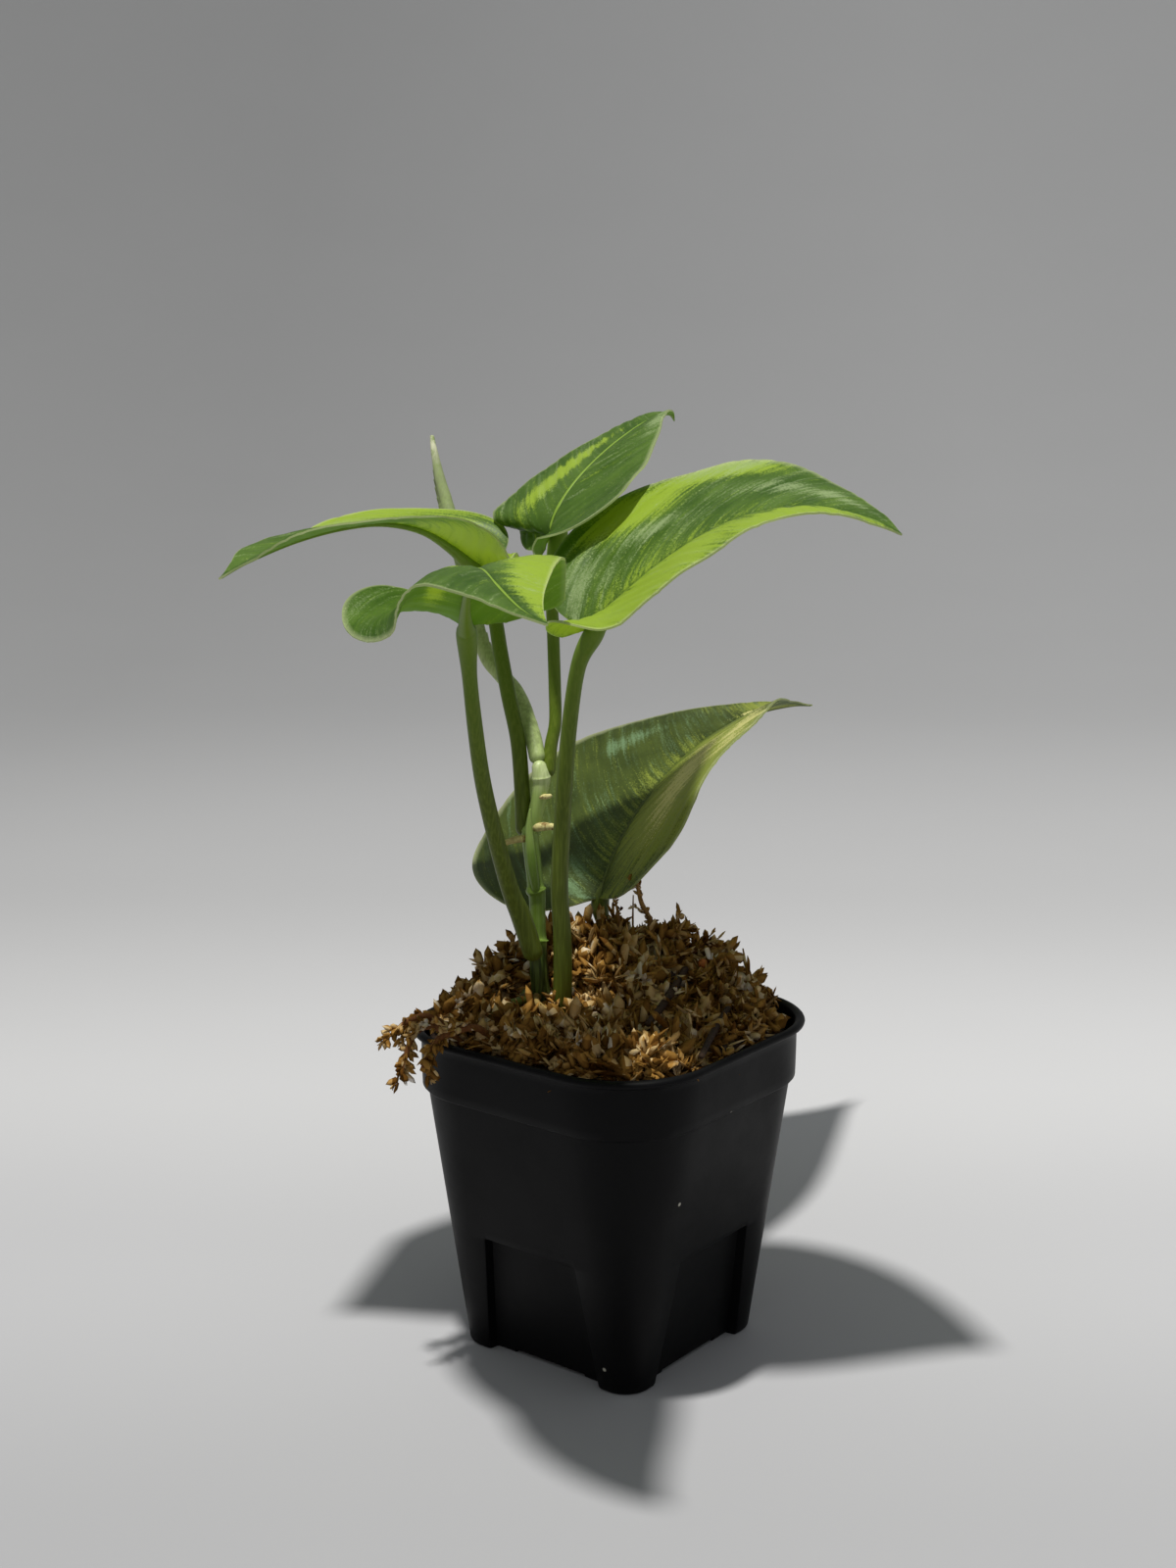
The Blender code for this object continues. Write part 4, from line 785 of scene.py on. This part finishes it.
def leaf_face(name, dark, mid, gold, silver, cream, through, through_gold, share, roughness):
    """One face of a blade: green marbled along its veins, some marks being painted highlights, painted shade in the
    midrib's crease, and the light that comes through it.
    """
    face, output = new_material(name)
    coords = add_node(face, "ShaderNodeTexCoord")
    marks = add_node(face, "ShaderNodeAttribute", attribute_name="marbling_and_painted_highlights")
    kinds = add_node(face, "ShaderNodeSeparateColor", {"Color": marks.outputs["Color"]})
    speck = add_node(face, "ShaderNodeTexNoise", {"Vector": coords.outputs["Object"], "Scale": 1 / (0.42 * MM),
                                                 "Detail": 3.0, "Roughness": 0.7}).outputs["Fac"]
    patch = add_node(face, "ShaderNodeTexNoise", {"Vector": coords.outputs["Object"], "Scale": 1 / (11 * MM),
                                                 "Detail": 3.0}).outputs["Fac"]

    def streaks(width, length, seed):
        along = add_node(face, "ShaderNodeMapping", {"Vector": coords.outputs["UV"], "Location": (seed * 3.7, seed * 1.3, seed),
                                                     "Scale": (1 / width, 1 / length, 1.0)})
        return add_node(face, "ShaderNodeTexNoise", {"Vector": along.outputs["Vector"], "Scale": 1.0, "Detail": 5.0,
                                                    "Roughness": 0.62}).outputs["Fac"]

    def marked(amount, streak, low, high, most):
        """Where a kind of marking shows: its painted amount, broken up by streaks and specks."""
        total = add_node(face, "ShaderNodeMath", {0: streak, 1: 1.3, 2: amount}, operation="MULTIPLY_ADD").outputs["Value"]
        total = add_node(face, "ShaderNodeMath", {0: speck, 1: 1.0, 2: total}, operation="MULTIPLY_ADD").outputs["Value"]
        return add_node(face, "ShaderNodeMapRange", {"Value": total, "From Min": low, "From Max": high, "To Max": most},
                        interpolation_type="SMOOTHSTEP").outputs["Result"]

    fine = streaks(1.5, 13, 1)
    wide = streaks(5.5, 30, 2)
    other = streaks(1.9, 15, 3)
    # these masks carry the leaf's variegation and also the painted highlights and sheen set among the marks
    gold_mask = marked(kinds.outputs["Red"], fine, 1.34, 1.75, 0.9)
    silver_mask = marked(kinds.outputs["Green"], other, 1.32, 1.8, 0.8)
    cream_mask = marked(kinds.outputs["Blue"], wide, 1.55, 1.68, 0.95)
    depth = add_node(face, "ShaderNodeMath", {0: wide, 1: patch}, operation="ADD").outputs["Value"]
    depth = add_node(face, "ShaderNodeMapRange", {"Value": depth, "From Min": 0.75, "From Max": 1.25}).outputs["Result"]
    tint = add_node(face, "ShaderNodeMix", {"Factor": depth, "A": srgb(dark), "B": srgb(mid)}, data_type="RGBA").outputs["Result"]
    # painted shade: the colour darkens to the dark green within a millimetre of the midrib, in its crease
    reach = add_node(face, "ShaderNodeSeparateXYZ", {"Vector": coords.outputs["UV"]}).outputs["Y"]
    crease = add_node(face, "ShaderNodeMapRange", {"Value": reach, "From Min": 0.9, "From Max": 0.2, "To Max": 0.75}).outputs["Result"]
    for mask, code in ((gold_mask, gold), (silver_mask, silver), (cream_mask, cream), (crease, dark),
                       (marks.outputs["Alpha"], "dfe3b4")):
        tint = add_node(face, "ShaderNodeMix", {"Factor": mask, "A": tint, "B": srgb(code)}, data_type="RGBA").outputs["Result"]
    light = add_node(face, "ShaderNodeMix", {"Factor": gold_mask, "A": srgb(through), "B": srgb(through_gold)},
                     data_type="RGBA").outputs["Result"]
    light = add_node(face, "ShaderNodeMix", {"Factor": cream_mask, "A": light, "B": srgb("f2f0b4")}, data_type="RGBA").outputs["Result"]
    rough = add_node(face, "ShaderNodeMapRange", {"Value": speck, "From Min": 0.3, "From Max": 0.7, "To Min": roughness,
                                                 "To Max": roughness + 0.12}).outputs["Result"]
    bump = add_node(face, "ShaderNodeBump", {"Height": speck, "Strength": 0.25, "Distance": 0.06 * MM}).outputs["Normal"]
    bump = add_node(face, "ShaderNodeBump", {"Height": fine, "Strength": 0.3, "Distance": 0.15 * MM, "Normal": bump}).outputs["Normal"]
    shader = add_node(face, "ShaderNodeBsdfPrincipled", {"Base Color": tint, "Roughness": rough, "Normal": bump, "IOR": 1.42,
                                                        "Specular IOR Level": 0.28})
    glow = add_node(face, "ShaderNodeBsdfTranslucent", {"Color": light, "Normal": bump})
    mixed = add_node(face, "ShaderNodeMixShader", {0: share, 1: shader.outputs["BSDF"], 2: glow.outputs["BSDF"]})
    face.node_tree.links.new(mixed.outputs["Shader"], output.inputs["Surface"])
    return face


# satin upper face: grey-green with a silvery bloom painted as sheen, marbled yellow-green, silver and cream along the
# veins; some marks are painted highlights
upper_face = leaf_face("satin_upper_face", "35511a", "5a7530", "9cb53c", "a6b884", "dcdc9c", "8fb22c", "cfe04a", 0.36, 0.36)
# paler matt under face: the light that comes through it shows yellow-green
under_face = leaf_face("matt_under_face", "62802a", "7c9a38", "a8c044", "a8bc78", "d6d898", "a4cc34", "d8ec5c", 0.5, 0.48)
# an older leaf is thicker, darker and bluer, and passes less light; its teal silver is also used for a painted
# highlight
old_upper_face = leaf_face("old_upper_face", "323e12", "4d5a22", "929e3e", "7c9a70", "cfcb84", "7c9430", "c8cc58", 0.28, 0.36)
old_under_face = leaf_face("old_under_face", "3e4c16", "5a6a26", "a4ae46", "8aa068", "cfcd80", "86a02c", "ccd050", 0.34, 0.46)
# thin cartilage margin: a pale cream line that catches the light
margin_skin = plant_skin("cream_leaf_margin", [(60, "a8b070"), (135, "a4b068"), (160, "c8d29a"), (220, "ccd69e")], "d8deb0", 0.4, 0.4)
# stalk skin: olive green, lighter and yellower where it meets the blade, finely ribbed
stalk_skin = plant_skin("ribbed_stalk_skin", [(76, "5c6020"), (92, "555f1c"), (130, "55651a"), (160, "627c20"), (185, "80a038")],
                        "7c8c34", 0.42, 0.15)


def marbling_and_painted_highlights(u, v, leaf):
    """How much of each kind of marking a point has, painted highlights among them, and how near it is to the margin."""
    half, share, across, out = on_blade(u, v, leaf)
    signed = out if half == 0 else -out
    amounts = dict(gold=0.1, silver=0.14, cream=0.0)
    for kind, along, reach, length, width in leaf["marks"]:
        near = math.exp(-(((share - along) / length) ** 2 + ((signed - reach) / width) ** 2))
        amounts[kind] = max(amounts[kind], MOST_MARKED[kind] * near)
    return (amounts["gold"], amounts["silver"], amounts["cream"], max(0.0, (out - 0.984) / 0.016) * 0.4)


def make_blade(name, leaf, midrib, seed, materials):
    bm = shaped_grid(BLADE_ROWS, BLADE_COLUMNS, lambda u, v: blade_point(u, v, leaf, midrib))
    uv = bm.loops.layers.uv.verify()
    paint = bm.verts.layers.float_color.new("marbling_and_painted_highlights")
    bmesh.ops.recalc_face_normals(bm, faces=bm.faces)
    if sum(face.normal.z * face.calc_area() for face in bm.faces) < 0:
        bmesh.ops.reverse_faces(bm, faces=bm.faces)
    bm.normal_update()
    places = {vertex: tuple(vertex.link_loops[0][uv].uv) for vertex in bm.verts}
    for vertex, (u, v) in places.items():
        vertex[paint] = marbling_and_painted_highlights(u, v, leaf)
        vertex.co += vertex.normal * blade_relief(u, v, leaf, seed) * MM
    for face in bm.faces:
        for loop in face.loops:
            half, share, across, out = on_blade(*loop[uv].uv, leaf)
            loop[uv].uv = (vein_place(share, across) * midrib.length + 200 * half, across * leaf["widths"][half])
    blade = add_piece(name + "_blade", bm, materials)
    shell = blade.modifiers.new("thickness", "SOLIDIFY")
    shell.thickness, shell.offset = BLADE_THICKNESS * MM, 0.0
    shell.material_offset, shell.material_offset_rim = 1, 2
    apply_modifiers(blade).set_sharp_from_angle(angle=math.radians(60))
    return blade


for seed, (name, leaf) in enumerate(LEAVES.items()):
    midrib = Midrib(leaf["midrib"])
    faces = [old_upper_face, old_under_face] if name == "leaf_low" else [upper_face, under_face]
    blade = make_blade(name, leaf, midrib, seed, faces + [margin_skin])
    rib = []
    for share, width in RIB:
        place, up, left = midrib.frame(share)
        rib.append((*(place - up * (width / 2 - 0.05)), width))
    stations = 14 * (len(leaf["stalk"]) + len(rib) - 2)
    stalk = add_piece(name + "_stalk", sweep(leaf["stalk"][:-1] + rib, stations, 20, lambda centre, turn: 0.035 * math.sin(9 * turn)),
                      [stalk_skin])
    for piece in (blade, stalk):
        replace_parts(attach(piece, "root"), name)

# The new leaf is still rolled up: a pale spike that stands out of the top node's sheath, with the free
# edge of the blade wound round it once and standing off as a small flap.
NEW_LEAF_ROUTE = [
    (-16.2, 7.8, 133.6, 3.2), (-17.8, 12, 138.8, 3.2), (-21.0, 18, 145.6, 3.0), (-24.7, 22, 149.5, 2.8),
    (-27.9, 25, 153.1, 2.8), (-29.9, 29, 158.6, 2.8), (-33.6, 37, 172.8, 2.9), (-36.1, 42.5, 179.9, 3.0),
    (-37.9, 46, 185.9, 2.7), (-40.1, 49, 193.1, 2.0), (-41.4, 51, 199.1, 1.2), (-41.8, 52, 201.8, 0.8),
]


def rolled_edge(centre, turn):
    """A step in the radius that winds up the spike, where the rolled blade's edge lies over itself."""
    wound = (turn / math.tau + (centre.z - 150) / 70) % 1.0
    return 0.7 * wound ** 3 + 0.1 + 0.06 * noise.noise(centre / 2)


# rolled young blade: pale cream green with a bloom, whitish at its tip, mottled with darker green
young_skin = plant_skin("rolled_young_blade", [(130, "b9cc84"), (150, "c8d894"), (165, "b0bf82"), (188, "98a672"),
                                              (197, "aab488"), (202, "ecebcc")], "8a9a60", 0.42, 0.25, "a3b377")
new_leaf = add_piece("rolled_new_leaf", sweep(NEW_LEAF_ROUTE, 180, 36, rolled_edge), [young_skin])
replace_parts(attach(new_leaf, "root"), "new_leaf")

# One aerial root leaves the foot of the stem and lies along the moss: smooth, green turning brown.
AERIAL_ROOT_ROUTE = [(-18.6, 1.6, 80.6, 2.4), (-19.9, -3.0, 80.4, 2.2), (-23.8, -7.0, 80.0, 2.0), (-27.2, -10.5, 78.6, 1.3)]
root_skin = plant_skin("green_root_skin", [(78, "4a4a1c"), (80, "4f5a20"), (81, "5c6a2a")], "6d6c34", 0.5, 0.05, "54401c")
root = add_piece("aerial_root_skin", sweep(AERIAL_ROOT_ROUTE, 60, 18, lambda centre, turn: 0.08 * noise.noise(centre)), [root_skin])
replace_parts(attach(root, "root"), "aerial_root")

# Scraps that came with the moss: two dark twigs, a seed ball, a fine loop of root and dead strands that
# stand up behind the plant. They lie loose in it.
TWIG_ROUTES = {
    "twig_long": [(17.2, 11.0, 83.4, 1.6), (12.6, -3.5, 80.8, 1.8), (8.3, -16.5, 79.4, 1.4)],
    "twig_short": [(26.2, -3.5, 78.6, 1.5), (22.6, -17.0, 78.0, 1.6), (19.2, -31.5, 77.2, 1.3)],
}
bark = plant_skin("dead_twig_bark", [(76, "2a1c12"), (84, "38271a")], "4c3a2a", 0.75, 0.0, "17100b")
for name, route in TWIG_ROUTES.items():
    twig = add_piece(name + "_bark", sweep(route, 50, 14, lambda centre, turn: 0.14 * noise.noise(centre * 1.3 + Vector((0, 0, turn)))), [bark])
    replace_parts(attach(twig, "root"), name)

# moss strands stripped of their scales: rust brown, dry
strand_skin = plant_skin("stripped_moss_strand", [(70, "6e4420"), (86, "5c3417"), (100, "a07c48")], "8a6030", 0.75, 0.05)
RIM_TUFT = [
    [(-30, -16, 73, 1.6), (-37, -18, 79, 1.6), (-41.5, -21, 79.2, 1.4), (-43.5, -23.5, 75, 1.2), (-44.5, -25.5, 71, 0.7)],
    [(-32, -12, 74, 1.5), (-39, -13.5, 80, 1.5), (-44, -17, 80, 1.2), (-47, -19, 77.5, 0.7)],
    [(-24, -17, 74.5, 1.6), (-28.5, -20, 79.6, 1.6), (-34, -24, 79.8, 1.4), (-37.6, -26.8, 78, 1.2), (-39.6, -29, 74, 0.7)],
]
STANDING_STRANDS = [
    ([(7.0, 25, 83, 1.4), (8.2, 25, 87, 1.3), (9.4, 25, 91, 1.2), (7.4, 25, 95.5, 1.1), (6.4, 25, 100, 0.8)], 5, 0.42),
    ([(9, 24, 83, 1.5), (13, 24, 88, 1.3), (17, 23.5, 90.5, 0.8)], 9, 0.6),
    ([(1, 24, 84, 1.0), (2.2, 25, 90, 0.7), (1.4, 25, 95.5, 0.5)], 3, 0.25),
    ([(5.5, 25, 84, 0.6), (5.4, 25, 91, 0.5), (5.5, 25, 97.2, 0.3)], 0, 0.0),
    ([(16, 20, 82, 1.5), (21, 20, 86, 1.3), (25, 19, 86.5, 0.7)], 6, 0.6),
]
LOOP_CENTRE, LOOP_RADIUS = Vector((-7.1, 20, 87.9)), 1.4
SEED_PLACE, SEED_RADIUS = Vector((21.3, 12.5, 84.4)), 1.15


def set_scales(bm, route, count, size):
    """Sets small moss branches along a strand, leaning with it."""
    for k in range(count):
        t = (0.25 + 0.75 * (k + 1) / count) * (len(route) - 1)
        centre = catmull_rom([Vector(stop[:3]) for stop in route], t)
        along = centre - catmull_rom([Vector(stop[:3]) for stop in route], t - 0.1)
        lean = Matrix.Rotation(draw.uniform(-0.5, 0.5), 4, "Y") @ Matrix.Rotation(draw.uniform(0, math.tau), 4, "X")
        branch = patterns[k % SPRIG_PATTERNS].copy()
        branch.transform(TURN @ Matrix.Translation((centre - along.normalized() * 4 * size) * MM)
                         @ along.to_track_quat("X", "Z").to_matrix().to_4x4() @ lean @ Matrix.Scale(size, 4))
        bm.from_mesh(branch)
        bpy.data.meshes.remove(branch)


scales, strands = bmesh.new(), bmesh.new()
for route in RIM_TUFT:
    sweep(route, 30, 10, lambda centre, turn: 0.1 * noise.noise(centre), strands)
    set_scales(scales, route, 8, 0.62)
for route, count, size in STANDING_STRANDS:
    sweep(route, 30, 10, lambda centre, turn: 0.12 * noise.noise(centre), strands)
    set_scales(scales, route, count, size)
loop_route = [(*(LOOP_CENTRE + LOOP_RADIUS * Vector((math.cos(a * 0.7), 0.3 * math.sin(a * 0.35), math.sin(a * 0.7)))), 0.45)
              for a in range(9)]
sweep([(-6.2, 20, 82, 0.5)] + loop_route, 60, 8, None, strands)
for piece in (add_piece("loose_moss_scales", scales, [dry_moss]), add_piece("loose_moss_strands", strands, [strand_skin])):
    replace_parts(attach(piece, "root"), "moss")

# seed ball: orange brown, dry, with darker spots
bm = bmesh.new()
bmesh.ops.create_icosphere(bm, subdivisions=4, radius=SEED_RADIUS * MM, matrix=TURN @ Matrix.Translation(SEED_PLACE * MM))
seed_centre = TURN @ (SEED_PLACE * MM)
for vertex in bm.verts:
    out = (vertex.co - seed_centre).normalized()
    vertex.co += out * 0.08 * MM * noise.noise(vertex.co / MM * 1.2)
seed_coat = plant_skin("dry_seed_coat", [(80, "7a3d14"), (84, "9a5420"), (86, "a8622a")], "7a4018", 0.55, 0.0, "5e3012")
seed = add_piece("seed_ball", bm, [seed_coat])
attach(seed, "root")

size = {"cad": [list(corner) for corner in cad_box], "visual": [list(corner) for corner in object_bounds()]}
